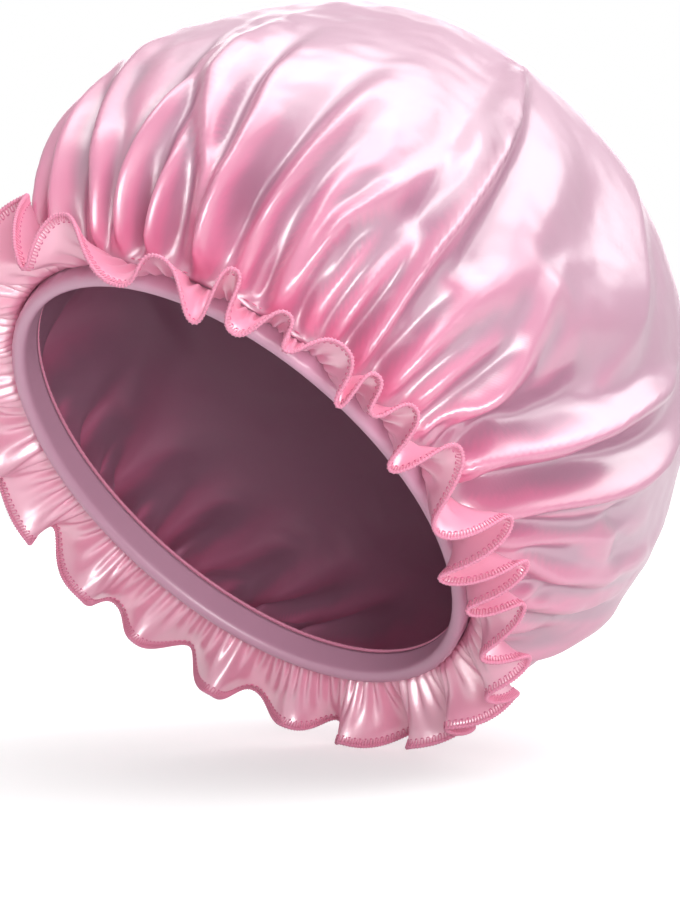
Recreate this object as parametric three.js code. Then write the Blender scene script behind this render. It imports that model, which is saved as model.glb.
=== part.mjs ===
// Satin hair bonnet in the pose it takes on a head: a puffed crown gathered into an elastic band, with a
// ruffled frill. Millimetres, +Z up, forehead toward -Y, wearer's left toward +X, origin at the middle of
// the head opening.
import * as THREE from 'three';

// Head opening, the elastic stretched as worn
const OPENING_WIDTH = 153;
const OPENING_LENGTH = 200;
const OPENING_TILT_DEG = 45;

// Cloth, elastic and thread
const SATIN_THICKNESS = 0.8;
const ELASTIC_WIDTH = 10;
const ELASTIC_THICKNESS = 1;
const ELASTIC_OVERLAP = 16;
const THREAD_RADIUS = 0.35;
const FITTING_GAP = 0.3;

// Crown, measured from the plane of the opening
const CROWN_WIDTH = 205;
const CROWN_LENGTH = 284;
const CROWN_HEIGHT = 198;
const CROWN_BACK_SHIFT = 31;
const CROWN_WIDEST_SHARE = 0.43;
const CROWN_PUFF = 2.5;
const CROWN_COLUMNS = 96;

// Folds and hollows of the crown as it sits: turn from the forehead in degrees and share of the way up, at the
// foot and then at the tip, with the height and the half width
const CROWN_FOLDS = [
  [-34, 0, -36, 0.3, 4, 6],
  [-26, 0, -27, 0.32, 4.5, 6],
  [-17, 0, -17.5, 0.34, 5, 5.5],
  [-11.5, 0, -11.5, 0.36, 5.5, 5.5],
  [-1, 0, -9, 0.38, 6.5, 6],
  [5, 0, 7, 0.44, 6.5, 6],
  [12, 0, 12.5, 0.26, 5, 5],
  [24, 0.03, 8, 0.5, 4.5, 8],
  [24.5, 0, 19, 0.38, 5.5, 6],
  [32, 0, 34, 0.4, 6.5, 5.5],
  [42.5, 0, 51, 0.36, 6, 5.5],
  [60, 0, 49.5, 0.58, 5.5, 5],
  [68.5, 0, 67.5, 0.24, 5, 5],
  [80, 0, 73, 0.36, 5.5, 5.5],
  [88, 0, 106, 0.5, 7.5, 6],
  [100, 0, 114, 0.46, 7, 6],
  [107, 0, 125, 0.3, 5, 5],
  [114, 0, 139, 0.4, 6, 6],
  [124, 0, 141, 0.28, 5.5, 5.5],
  [135, 0, 152, 0.32, 5.5, 5.5],
  [92, 0.26, 80, 0.7, 3.5, 10],
  [-36, 0, -30, 0.5, -9, 30],
  [53, 0.2, 42, 0.6, -4, 10],
  [73, 0.3, 75, 0.6, -3.5, 14],
];
const CROWN_FAR_FOLDS = 15;
const CROWN_FAR_FOLD_HEIGHT = 5;

// Frill and its overlocked hem
const FRILL_WIDTH = 27.5;
const FRILL_ROOT_DROOP_DEG = 36;
const FRILL_FAR_TURNS = 24;
const FRILL_FAR_DROOP_DEG = 34;
const FRILL_FAR_SWING_DEG = 22;
const HEM_BEAD_RADIUS = 1;
const HEM_NEEDLE_INSET = 3.4;

// Places where the frill's hem turns on the near side: degrees from the forehead, droop below the plane of the
// opening in degrees, and how far the rounded turn reaches along the hem in degrees
const FRILL_TURNS = [
  [-49, 55, 6], [-42, 12, 7], [-35, 62, 7], [-28, 0, 7], [-21.5, 48, 5], [-15, -24, 8], [-5.5, 46, 4],
  [1, 13, 8], [14, 54, 12], [20.8, 22, 9], [30.4, 58, 5], [32.6, 17, 6], [37, 51, 7], [43, 17, 5.5],
  [46.3, 44, 4], [53.3, 20, 9], [57.8, 47, 6], [60.5, 14, 5.5], [63.8, 42, 4], [68.5, 17, 6], [73, 53, 5],
  [78.4, 8, 7], [88, 62, 9], [95.5, 6, 6], [98.8, 69, 6], [105, 9, 6], [108, 67, 6], [113, 20, 6],
];

// Seam that holds crown, frill and casing together
const SEAM_DROP = 4;
const RING_STEPS = 96;
const COLUMNS_PER_TURN = 4;
const HEM_CURL = 1.15;

const radians = THREE.MathUtils.degToRad;
const halfWidth = OPENING_WIDTH / 2;
const halfLength = OPENING_LENGTH / 2;

// Radial layers through the band, outward from the head side of the casing
const channel = 2 * ELASTIC_THICKNESS + 4 * FITTING_GAP + 2 * THREAD_RADIUS;
const casingOuter = 2 * SATIN_THICKNESS + channel;
const casingDrop = ELASTIC_WIDTH + 2 * FITTING_GAP + SATIN_THICKNESS;
const crownInner = casingOuter + FITTING_GAP;
const crownMid = crownInner + SATIN_THICKNESS / 2;
const crownOuter = crownInner + SATIN_THICKNESS;
const frillRootHeight = -SEAM_DROP - FITTING_GAP - SATIN_THICKNESS / 2;

const satin = new THREE.MeshStandardMaterial({ name: 'satin', color: 0xf0a3c4, roughness: 0.35 });
const casingSatin = new THREE.MeshStandardMaterial({ name: 'casing_satin', color: 0xe58fb5, roughness: 0.4 });
const elastic = new THREE.MeshStandardMaterial({ name: 'elastic', color: 0xf2eef0, roughness: 0.8 });
const thread = new THREE.MeshStandardMaterial({ name: 'thread', color: 0xee86b2, roughness: 0.6 });

// A point of the band: angle from the forehead toward the wearer's left, distance out from the casing's
// head side, height along the normal of the opening
function bandPoint(angle, out, height) {
  const sin = Math.sin(angle);
  const cos = Math.cos(angle);
  const nx = halfLength * sin;
  const ny = -halfWidth * cos;
  const length = Math.hypot(nx, ny);
  return new THREE.Vector3(
    halfWidth * sin + (out * nx) / length,
    -halfLength * cos + (out * ny) / length,
    height,
  );
}

// How fast the opening's edge runs per radian
function bandSpeed(angle) {
  return Math.hypot(halfWidth * Math.cos(angle), halfLength * Math.sin(angle));
}

// Outward normal of a surface given as a function of two parameters
function surfaceNormal(surface, a, b, step = 1e-4) {
  const da = surface(a + step, b).sub(surface(a - step, b));
  const db = surface(a, b + step).sub(surface(a, b - step));
  return da.cross(db).normalize();
}

// Closed mesh from lists of points and triangles
function solid(name, points, triangles, material) {
  const geometry = new THREE.BufferGeometry();
  const flat = points.flatMap((p) => [p.x, p.y, p.z]);
  geometry.setAttribute('position', new THREE.Float32BufferAttribute(flat, 3));
  geometry.setIndex(triangles.flat());
  geometry.computeVertexNormals();
  const mesh = new THREE.Mesh(geometry, material);
  mesh.name = name;
  return mesh;
}

// Two triangles for the quad a, b, c, d
function quad(a, b, c, d) {
  return [[a, b, c], [a, c, d]];
}

// Sections of equal point count joined into a ring, or into a bar with end caps when it does not close. The
// second half of a section is cut along the other diagonal, so that both faces of a twisted strip match
function sweep(name, sections, material, closes) {
  const count = sections[0].length;
  const points = sections.flat();
  const triangles = [];
  const spans = closes ? sections.length : sections.length - 1;
  for (let i = 0; i < spans; i += 1) {
    const here = i * count;
    const next = ((i + 1) % sections.length) * count;
    for (let j = 0; j < count; j += 1) {
      const k = (j + 1) % count;
      if (2 * j < count) {
        triangles.push(...quad(here + j, next + j, next + k, here + k));
      } else {
        triangles.push(...quad(next + j, next + k, here + k, here + j));
      }
    }
  }
  if (!closes) {
    const last = (sections.length - 1) * count;
    for (let j = 1; j < count - 1; j += 1) {
      triangles.push([0, j, j + 1], [last, last + j + 1, last + j]);
    }
  }
  return solid(name, points, triangles, material);
}

// A section given as [out, height] pairs, carried all the way round the band
function bandRing(name, outline, material) {
  const sections = [];
  for (let i = 0; i < RING_STEPS; i += 1) {
    const angle = (2 * Math.PI * i) / RING_STEPS;
    sections.push(outline.map(([out, height]) => bandPoint(angle, out, height)));
  }
  return sweep(name, sections, material, true);
}

// Points of a flattened round section, turning from the first axis toward the second
function roundOutline(centreOut, centreHeight, radiusOut, radiusHeight, sides) {
  const outline = [];
  for (let i = 0; i < sides; i += 1) {
    const turn = (2 * Math.PI * (i + 0.5)) / sides;
    outline.push([centreOut + radiusOut * Math.cos(turn), centreHeight + radiusHeight * Math.sin(turn)]);
  }
  return outline;
}

// Crown: an ellipsoid set back over the opening, drawn in to the band, with folds that climb from it
const crownHalfWidth = CROWN_WIDTH / 2;
const crownHalfLength = CROWN_LENGTH / 2;
const crownWidest = CROWN_HEIGHT * CROWN_WIDEST_SHARE;
const crownRise = CROWN_HEIGHT - crownWidest;
const crownStart = -Math.asin(Math.min(0.95, crownWidest / crownRise));
const crownSpan = Math.PI / 2 - crownStart;
const crownBlend = radians(75);
const nearSide = radians(55);

function smoothRise(value) {
  const x = THREE.MathUtils.clamp(value, 0, 1);
  return x * x * (3 - 2 * x);
}

function smoothFall(value) {
  return 1 - smoothRise(value);
}

function crownEllipsoid(angle, lift) {
  const reach = Math.cos(lift);
  return new THREE.Vector3(
    crownHalfWidth * reach * Math.sin(angle),
    CROWN_BACK_SHIFT - crownHalfLength * reach * Math.cos(angle),
    crownWidest + crownRise * Math.sin(lift),
  );
}

function crownSmooth(angle, lift) {
  const point = crownEllipsoid(angle, lift);
  const edge = crownEllipsoid(angle, crownStart);
  const drawnIn = bandPoint(angle, crownMid, 0).sub(edge);
  return point.addScaledVector(drawnIn, smoothFall((lift - crownStart) / crownBlend));
}

// How far one fold lifts the satin at a turn and a share of the way up, where the crown has a given radius
function foldLift([footTurn, footShare, tipTurn, tipShare, height, half], angle, share, radius) {
  const way = (share - footShare) / (tipShare - footShare);
  const line = radians(THREE.MathUtils.lerp(footTurn, tipTurn, THREE.MathUtils.clamp(way, 0, 1)));
  const across = (Math.atan2(Math.sin(angle - line), Math.cos(angle - line)) * radius) / half;
  const along = smoothRise((way + 0.1) / 0.15) * smoothFall(way - 0.2);
  return height * along * Math.exp(-across * across);
}

// Looser folds of the far side, which wander as they climb
function farLift(angle, share) {
  const drift = 1.2 * Math.sin(angle + 0.6) + 0.6 * Math.sin(2 * angle + 2.2) + 0.4 * Math.sin(3 * angle + 4.1);
  const wander = 1.3 * Math.sin(4 * share + 2 * angle);
  const far = 1 - 0.8 * smoothRise((Math.cos(angle - nearSide) - 0.1) / 0.4);
  const along = Math.exp(-(((share - 0.36) / 0.18) ** 2));
  return CROWN_FAR_FOLD_HEIGHT * far * along * Math.sin(CROWN_FAR_FOLDS * angle + drift + wander);
}

function crownSurface(angle, lift) {
  const share = (lift - crownStart) / crownSpan;
  const smooth = crownSmooth(angle, lift);
  const radius = Math.hypot(smooth.x, smooth.y - CROWN_BACK_SHIFT * share);
  const puff = CROWN_PUFF * Math.sin(Math.PI * THREE.MathUtils.clamp(share / 0.55, 0, 1));
  const folds = CROWN_FOLDS.reduce((sum, fold) => sum + foldLift(fold, angle, share, radius), 0);
  const normal = surfaceNormal(crownSmooth, angle, lift);
  const lifted = (puff + folds + farLift(angle, share)) * smoothRise(share / 0.06);
  return smooth.addScaledVector(normal, lifted);
}

// Turn of a column of the crown, closer together on the near side where the folds are finer
function crownColumn(step, count) {
  const even = (2 * Math.PI * step) / count;
  return even - 0.3 * Math.sin(even - nearSide);
}

// Triangles between two rings of points, the upper one with as many points or half as many
function stitchRings(lower, upper) {
  const triangles = [];
  const n = lower.length;
  const ratio = n / upper.length;
  for (let i = 0; i < upper.length; i += 1) {
    const j = (i + 1) % upper.length;
    if (ratio === 1) {
      triangles.push(...quad(lower[i], lower[j], upper[j], upper[i]));
    } else {
      const a = lower[2 * i];
      const b = lower[2 * i + 1];
      const c = lower[(2 * i + 2) % n];
      triangles.push([a, b, upper[i]], [b, upper[j], upper[i]], [b, c, upper[j]]);
    }
  }
  return triangles;
}

function buildCrown() {
  const fine = CROWN_COLUMNS;
  const levels = [
    [0.085, fine],
    [0.19, fine],
    [0.31, fine],
    [0.45, fine / 2],
    [0.6, fine / 2],
    [0.76, fine / 4],
    [0.89, fine / 4],
  ];
  const points = [];
  const triangles = [];
  const skins = [SATIN_THICKNESS / 2, -SATIN_THICKNESS / 2].map((offset) => {
    const rings = [];
    for (const height of [-SEAM_DROP, 0]) {
      const ring = [];
      for (let i = 0; i < fine; i += 1) {
        ring.push(points.length);
        points.push(bandPoint(crownColumn(i, fine), crownMid + offset, height));
      }
      rings.push(ring);
    }
    for (const [share, count] of levels) {
      const lift = crownStart + crownSpan * share;
      const ring = [];
      for (let i = 0; i < count; i += 1) {
        const angle = crownColumn(i, count);
        ring.push(points.length);
        points.push(crownSurface(angle, lift).addScaledVector(surfaceNormal(crownSurface, angle, lift), offset));
      }
      rings.push(ring);
    }
    const apex = points.length;
    points.push(new THREE.Vector3(0, CROWN_BACK_SHIFT, CROWN_HEIGHT + offset));
    return { rings, apex };
  });
  skins.forEach(({ rings, apex }, side) => {
    const faces = [];
    for (let i = 0; i + 1 < rings.length; i += 1) {
      faces.push(...stitchRings(rings[i], rings[i + 1]));
    }
    const top = rings[rings.length - 1];
    top.forEach((index, i) => faces.push([index, top[(i + 1) % top.length], apex]));
    triangles.push(...(side === 0 ? faces : faces.map(([a, b, c]) => [a, c, b])));
  });
  const outerEdge = skins[0].rings[0];
  const innerEdge = skins[1].rings[0];
  triangles.push(...stitchRings(innerEdge, outerEdge));
  return solid('crown', points, triangles, satin);
}

// Frill: a strip that leaves the seam outward and swings between the places where its hem turns
const frillTurns = FRILL_TURNS.map((turn) => turn.map(radians));
const farGap = (360 + FRILL_TURNS[0][0] - FRILL_TURNS[FRILL_TURNS.length - 1][0]) / (FRILL_FAR_TURNS + 1);
for (let i = 0; i < FRILL_FAR_TURNS; i += 1) {
  const turn = FRILL_TURNS[FRILL_TURNS.length - 1][0] + farGap * (i + 1) + 1.2 * Math.sin(2.3 * i + 1);
  const swing = (i % 2 ? -1 : 1) * FRILL_FAR_SWING_DEG + 9 * Math.sin(1.7 * i);
  const round = 6 + 1.4 * Math.sin(1.3 * i);
  frillTurns.push([turn, FRILL_FAR_DROOP_DEG + swing, round].map(radians));
}
const turnCount = frillTurns.length;

function wrapTurn(i) {
  return ((i % turnCount) + turnCount) % turnCount;
}

function hemTurn(i) {
  return frillTurns[wrapTurn(i)][0] + 2 * Math.PI * Math.floor(i / turnCount);
}

// The seam evens out the places of the turns
function rootTurn(i) {
  let sum = 0;
  let weights = 0;
  for (let k = -4; k <= 4; k += 1) {
    const weight = Math.exp(-((k / 1.7) ** 2));
    sum += weight * hemTurn(i + k);
    weights += weight;
  }
  return sum / weights;
}

function hermite(t, from, to, leaving, arriving) {
  const ease = smoothRise(t);
  return from * (1 - ease) + to * ease + leaving * t * (1 - t) ** 2 - arriving * t * t * (1 - t);
}

// A point of the frill: count of turns along it and share of the way from the seam to the hem
function frillSurface(at, share) {
  const i = Math.floor(at);
  const t = at - i;
  const here = frillTurns[wrapTurn(i)];
  const next = frillTurns[wrapTurn(i + 1)];
  const leaving = (rootTurn(i + 1) - rootTurn(i - 1)) / 2;
  const arriving = (rootTurn(i + 2) - rootTurn(i)) / 2;
  const root = hermite(t, rootTurn(i), rootTurn(i + 1), leaving, arriving);
  const hem = hermite(t, hemTurn(i), hemTurn(i + 1), HEM_CURL * here[2], HEM_CURL * next[2]);
  const rootDroop = radians(FRILL_ROOT_DROOP_DEG);
  const hemDroop = THREE.MathUtils.lerp(here[1], next[1], smoothRise(t));
  const droop = THREE.MathUtils.lerp(rootDroop, hemDroop, 0.6 + 0.4 * share);
  const along = FRILL_WIDTH * share;
  const angle = THREE.MathUtils.lerp(root, hem, Math.sign(share) * Math.abs(share) ** 1.2);
  const out = crownInner + along * Math.cos(droop);
  return bandPoint(angle, out, frillRootHeight - along * Math.sin(droop));
}

function frillSteps() {
  const steps = [];
  for (let i = 0; i < turnCount * COLUMNS_PER_TURN; i += 1) {
    steps.push((i + 0.5) / COLUMNS_PER_TURN);
  }
  return steps;
}

function buildFrill() {
  const sections = frillSteps().map((at) => {
    const upper = [];
    const lower = [];
    for (const share of [0, 0.5, 1]) {
      const normal = surfaceNormal(frillSurface, at, share);
      const middle = frillSurface(at, share);
      const side = share === 0 ? new THREE.Vector3(0, 0, -1) : normal;
      upper.push(middle.clone().addScaledVector(side, -SATIN_THICKNESS / 2));
      lower.push(middle.clone().addScaledVector(side, SATIN_THICKNESS / 2));
    }
    return [...lower, ...upper.reverse()];
  });
  return sweep('frill', sections, satin, true);
}

// A thread that follows the frill, at a share of its width and a distance off its upper face, mitred where the
// hem turns
function frillThread(name, share, lift, radius, sides) {
  const steps = frillSteps();
  const line = steps.map((at) => frillSurface(at, share));
  const sections = steps.map((at, i) => {
    const along = frillSurface(at, share + 1e-3).sub(frillSurface(at, share - 1e-3)).normalize();
    const before = line[i].clone().sub(line[(i + steps.length - 1) % steps.length]);
    const after = line[(i + 1) % steps.length].clone().sub(line[i]);
    const arriving = along.clone().cross(before).normalize();
    const normal = along.clone().cross(after).normalize().add(arriving).normalize();
    const mitre = Math.max(0.6, normal.dot(arriving));
    const centre = line[i].clone().addScaledVector(normal, lift / mitre);
    return roundOutline(0, 0, radius, radius, sides).map(([x, y]) =>
      centre.clone().addScaledVector(along, x).addScaledVector(normal, y),
    );
  });
  return sweep(name, sections, thread, true);
}

// Casing: a satin strip folded lengthwise, the fold below and the open edges up in the seam
function buildCasing() {
  const wall = SATIN_THICKNESS;
  const outline = [
    [0, 0],
    [wall, 0],
    [wall, -casingDrop + wall],
    [wall + channel, -casingDrop + wall],
    [wall + channel, 0],
    [casingOuter, 0],
    [casingOuter, -casingDrop + wall],
    [casingOuter - wall, -casingDrop],
    [wall, -casingDrop],
    [0, -casingDrop + wall],
  ];
  return bandRing('elastic_casing', outline.reverse(), casingSatin);
}

// Elastic: one strip with its ends lapped at the nape
function buildElastic() {
  const base = SATIN_THICKNESS + FITTING_GAP;
  const step = ELASTIC_THICKNESS + FITTING_GAP;
  const speed = bandSpeed(Math.PI);
  const lap = ELASTIC_OVERLAP / speed;
  const ramp = (ELASTIC_OVERLAP * 1.2) / speed;
  const start = -Math.PI - lap / 2;
  const end = Math.PI + lap / 2;
  const top = -FITTING_GAP;
  const steps = RING_STEPS + 8;
  const sections = [];
  for (let i = 0; i <= steps; i += 1) {
    const angle = start + ((end - start) * i) / steps;
    const raise = 1 - smoothFall((angle - (end - lap - ramp - 0.02)) / ramp);
    const out = base + step * raise;
    sections.push([
      bandPoint(angle, out, top - ELASTIC_WIDTH),
      bandPoint(angle, out + ELASTIC_THICKNESS, top - ELASTIC_WIDTH),
      bandPoint(angle, out + ELASTIC_THICKNESS, top),
      bandPoint(angle, out, top),
    ]);
  }
  return sweep('elastic_band', sections, elastic, false);
}

// Zigzag tack sewn across the lapped ends of the elastic
function buildTack() {
  const out = SATIN_THICKNESS + 3 * FITTING_GAP + 2 * ELASTIC_THICKNESS + THREAD_RADIUS;
  const speed = bandSpeed(Math.PI);
  const corners = 5;
  const path = [];
  for (let i = 0; i < corners; i += 1) {
    const across = ELASTIC_WIDTH * (0.12 + (0.76 * i) / (corners - 1));
    const side = (i % 2 ? 0.28 : -0.28) * ELASTIC_OVERLAP;
    path.push(bandPoint(Math.PI + side / speed, out, -FITTING_GAP - across));
  }
  const section = new THREE.Shape().absarc(0, 0, THREAD_RADIUS, 0, 2 * Math.PI);
  const geometry = new THREE.ExtrudeGeometry(section, {
    steps: 36,
    curveSegments: 5,
    extrudePath: new THREE.CatmullRomCurve3(path, false, 'catmullrom', 0.3),
  });
  const mesh = new THREE.Mesh(geometry, thread);
  mesh.name = 'elastic_join_tack';
  return mesh;
}

// Overlock that wraps the raw edges inside the crown and shuts the casing
function buildSeamOverlock() {
  const rise = 1;
  const outline = roundOutline(casingOuter / 2, FITTING_GAP + rise, casingOuter / 2, rise, 6);
  return bandRing('seam_overlock', outline, thread);
}

// Row of stitches that holds the gathered crown to the band
function buildSeamStitch() {
  const outline = roundOutline(
    crownOuter + FITTING_GAP + THREAD_RADIUS,
    -SEAM_DROP / 2,
    THREAD_RADIUS,
    THREAD_RADIUS,
    5,
  );
  return bandRing('band_seam_stitch', outline, thread);
}

const worn = new THREE.Group();
worn.rotation.x = -radians(OPENING_TILT_DEG);
worn.add(
  buildCrown(),
  buildFrill(),
  buildCasing(),
  buildElastic(),
  buildTack(),
  buildSeamOverlock(),
  buildSeamStitch(),
  frillThread('frill_overlock', 1 + (FITTING_GAP + HEM_BEAD_RADIUS) / FRILL_WIDTH, 0, HEM_BEAD_RADIUS, 5),
  frillThread(
    'frill_needle_stitch',
    1 - HEM_NEEDLE_INSET / FRILL_WIDTH,
    SATIN_THICKNESS / 2 + 2 * FITTING_GAP + THREAD_RADIUS,
    THREAD_RADIUS,
    4,
  ),
);

const bonnet = new THREE.Group();
bonnet.name = 'satin_hair_bonnet';
bonnet.add(worn);

export default bonnet;
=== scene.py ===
"""Satin hair bonnet in its worn pose: cloth, elastic, threads, finishes and studio, in metres."""

import logging
import math
from dataclasses import asdict, dataclass, field
from enum import Enum
from typing import Callable

import bmesh
import bpy
import numpy as np
from mathutils import Matrix, Vector

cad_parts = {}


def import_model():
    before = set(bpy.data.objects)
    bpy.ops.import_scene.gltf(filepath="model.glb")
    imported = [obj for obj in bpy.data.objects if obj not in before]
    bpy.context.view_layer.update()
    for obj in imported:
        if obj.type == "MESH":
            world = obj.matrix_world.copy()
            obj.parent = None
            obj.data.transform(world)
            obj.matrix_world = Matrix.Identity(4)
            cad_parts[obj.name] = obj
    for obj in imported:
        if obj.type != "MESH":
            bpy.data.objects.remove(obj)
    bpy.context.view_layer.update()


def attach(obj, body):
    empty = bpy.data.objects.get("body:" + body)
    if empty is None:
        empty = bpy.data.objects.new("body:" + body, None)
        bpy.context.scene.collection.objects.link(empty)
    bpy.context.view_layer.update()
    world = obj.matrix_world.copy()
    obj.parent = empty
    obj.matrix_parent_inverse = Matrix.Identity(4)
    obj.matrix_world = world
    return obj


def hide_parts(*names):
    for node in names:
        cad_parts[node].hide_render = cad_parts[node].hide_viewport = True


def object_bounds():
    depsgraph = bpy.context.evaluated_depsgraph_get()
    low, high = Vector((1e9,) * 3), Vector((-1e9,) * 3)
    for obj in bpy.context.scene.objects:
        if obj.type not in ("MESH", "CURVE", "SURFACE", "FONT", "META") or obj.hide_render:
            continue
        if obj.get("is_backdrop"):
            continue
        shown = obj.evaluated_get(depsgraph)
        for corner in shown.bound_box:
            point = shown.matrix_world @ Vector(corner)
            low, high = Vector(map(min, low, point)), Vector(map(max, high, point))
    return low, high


log = logging.getLogger("bonnet")

MM = 0.001
ROOT = "root"
CLOTH_UV = "cloth"
PANEL_UV = "panel"
# Name of the crown's mark for painted bounce light: the saturated pink of light caught in its valleys and at
# the seam.
PAINTED_BOUNCE = "valley"
ROUND = 2.0
TURN = 2.0 * math.pi
WHITE = (1.0, 1.0, 1.0, 1.0)
WELD = 1e-6

Array = np.ndarray
Mesh = bpy.types.Mesh
Piece = bpy.types.Object
Material = bpy.types.Material
Tree = bpy.types.NodeTree
Node = bpy.types.Node
Socket = bpy.types.NodeSocket
Pair = tuple[float, float]
Triple = tuple[float, float, float]
Places = tuple[Array, Array, Array]
Frames = tuple[Array, Array, Array, Array]
Shape = Callable[[Array, Array], Array]


class Slot(Enum):
    """Names of the record's material slots for the pieces' finishes."""

    SATIN = "satin"
    CASING = "casing_satin"
    ELASTIC = "elastic"
    THREAD = "thread"


def ease(value: Array) -> Array:
    """Smooth step from 0 to 1 of a value that is clipped to 0 and 1."""
    x = np.clip(value, 0.0, 1.0)
    return x * x * (3.0 - 2.0 * x)


def unit(vectors: Array) -> Array:
    """Vectors scaled to length one."""
    return vectors / np.maximum(np.linalg.norm(vectors, axis=-1, keepdims=True), 1e-12)


def cubic(t: Array, here: Array, after: Array, first: Array, last: Array) -> Array:
    """Cubic curve from here to after with the given slopes at both ends."""
    start = (2 * t**3 - 3 * t**2 + 1) * here + (t**3 - 2 * t**2 + t) * first
    return start + (3 * t**2 - 2 * t**3) * after + (t**3 - t**2) * last


def turn_between(angle: Array, centre: Array) -> Array:
    """Shortest signed turn from centre to angle, in radians."""
    return (angle - centre + math.pi) % TURN - math.pi


# Mesh helpers


def read_points(mesh: Mesh) -> Array:
    """Vertex positions of a mesh as rows."""
    flat = np.empty(len(mesh.vertices) * 3)
    mesh.vertices.foreach_get("co", flat)
    return flat.reshape(-1, 3)


def write_points(mesh: Mesh, points: Array) -> None:
    """Sets the vertex positions of a mesh."""
    mesh.vertices.foreach_set("co", np.ascontiguousarray(points, dtype=float).ravel())
    mesh.update()


def loop_vertices(mesh: Mesh) -> Array:
    """Vertex index of each face corner of a mesh."""
    corners = np.empty(len(mesh.loops), dtype=int)
    mesh.loops.foreach_get("vertex_index", corners)
    return corners


def to_mesh(bm: bmesh.types.BMesh, name: str) -> Mesh:
    """Makes a smooth mesh of a bmesh and frees it."""
    mesh = bpy.data.meshes.new(name)
    bm.to_mesh(mesh)
    bm.free()
    mesh.shade_smooth()
    return mesh


def wrap_mesh(name: str, columns: int, rows: int, shape: Shape, uv_size: Pair) -> Mesh:
    """Lays a grid on a shape and welds the edges that meet.

    Args:
        name: name of the new mesh.
        columns: faces along the first parameter.
        rows: faces along the second parameter.
        shape: gives points for parameters from 0 to 1.
        uv_size: size in metres that the grid has as flat cloth.

    Returns:
        The welded mesh, with a UV map in metres and faces that point out.
    """
    bm = bmesh.new()
    bmesh.ops.create_grid(bm, x_segments=columns, y_segments=rows, size=1.0)
    flat = np.array([vertex.co for vertex in bm.verts])
    u = (flat[:, 0] + 1.0) / 2.0
    v = (flat[:, 1] + 1.0) / 2.0
    layer = bm.loops.layers.uv.new(CLOTH_UV)
    for face in bm.faces:
        for loop in face.loops:
            index = loop.vert.index
            loop[layer].uv = (u[index] * uv_size[0], v[index] * uv_size[1])
    for vertex, point in zip(bm.verts, shape(u, v)):
        vertex.co = point
    bmesh.ops.remove_doubles(bm, verts=bm.verts, dist=WELD)
    bmesh.ops.recalc_face_normals(bm, faces=bm.faces)
    return to_mesh(bm, name)


def repeat_mesh(name: str, template: Mesh, places: list[Matrix]) -> Mesh:
    """Repeats a small mesh at many places.

    Args:
        name: name of the new mesh.
        template: the mesh to repeat.
        places: one matrix for each copy.

    Returns:
        One mesh with all copies.
    """
    bm = bmesh.new()
    count = len(template.vertices)
    for place in places:
        bm.from_mesh(template)
        bm.verts.ensure_lookup_table()
        bmesh.ops.transform(bm, matrix=place, verts=bm.verts[-count:])
    return to_mesh(bm, name)


def join_meshes(name: str, parts: list[Mesh]) -> Mesh:
    """Puts several meshes into one."""
    bm = bmesh.new()
    for part in parts:
        bm.from_mesh(part)
    return to_mesh(bm, name)


def stand(points: Array, along: Array, toward: Array, normal: Array) -> list[Matrix]:
    """Matrices that stand small meshes on points, with their axes along three directions."""
    places = []
    for point, *axes in zip(points, along, toward, normal):
        place = Matrix.Identity(4)
        for column, axis in enumerate((*axes, point)):
            place.col[column][:3] = axis
        places.append(place)
    return places


def stitch_mesh(name: str, sides: int, length: float, radius: float, girth: float) -> Mesh:
    """One stitch: a short thread that dips into the cloth at both ends.

    Args:
        name: name of the new mesh.
        sides: faces round the thread.
        length: length of the stitch.
        radius: radius at its middle.
        girth: width of its UV map.

    Returns:
        The stitch along the x axis.
    """

    def shape(u: Array, v: Array) -> Array:
        turn = u * TURN
        bulge = np.sqrt(np.clip(1.0 - (2.0 * v - 1.0) ** 2, 0.02, 1.0))
        x = (v - 0.5) * length
        return np.stack([x, radius * bulge * np.cos(turn), radius * bulge * np.sin(turn)], axis=-1)

    return wrap_mesh(name, sides, 4, shape, (girth, length))


def add_piece(name: str, mesh: Mesh, material: Material, slot: Slot) -> Piece:
    """Makes a piece of the bonnet that replaces the solid of the same name.

    Args:
        name: name of the piece and of the solid it stands for.
        mesh: the piece's mesh, placed in the worn pose.
        material: its finish.
        slot: the record's slot for that finish; not used.

    Returns:
        The new object.
    """
    piece = bpy.data.objects.new(name + "_piece", mesh)
    bpy.context.scene.collection.objects.link(piece)
    mesh.materials.clear()
    mesh.materials.append(material)
    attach(piece, ROOT)
    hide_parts(name)
    log.info("%s: %d faces", piece.name, len(mesh.polygons))
    return piece


def apply_modifiers(piece: Piece) -> None:
    """Bakes the modifiers and shape keys of a piece into its mesh."""
    graph = bpy.context.evaluated_depsgraph_get()
    baked = bpy.data.meshes.new_from_object(piece.evaluated_get(graph))
    piece.modifiers.clear()
    if piece.data.shape_keys:
        piece.shape_key_clear()
    piece.data = baked


def valley_depth(mesh: Mesh, rounds: int) -> Array:
    """How deep each vertex lies below the cloth around it.

    Args:
        mesh: the cloth.
        rounds: how many times the cloth is smoothed for the comparison.

    Returns:
        One depth for each vertex, in metres, negative on ridges.
    """
    edges = np.empty(len(mesh.edges) * 2, dtype=int)
    mesh.edges.foreach_get("vertices", edges)
    first, second = edges[0::2], edges[1::2]
    points = read_points(mesh)
    normals = np.empty(len(points) * 3)
    mesh.vertices.foreach_get("normal", normals)
    count = np.bincount(edges, minlength=len(points))[:, None]
    smooth = points.copy()
    for _ in range(rounds):
        total = np.zeros_like(smooth)
        np.add.at(total, first, smooth[second])
        np.add.at(total, second, smooth[first])
        smooth = total / count
    return np.sum((smooth - points) * normals.reshape(-1, 3), axis=1)


def thicken(piece: Piece, thickness: float) -> None:
    """Gives a sheet of cloth its thickness, centred on the sheet."""
    wall = piece.modifiers.new("thickness", "SOLIDIFY")
    wall.thickness = thickness
    wall.offset = 0.0
    wall.use_even_offset = False


# Forms that the pieces share


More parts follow.
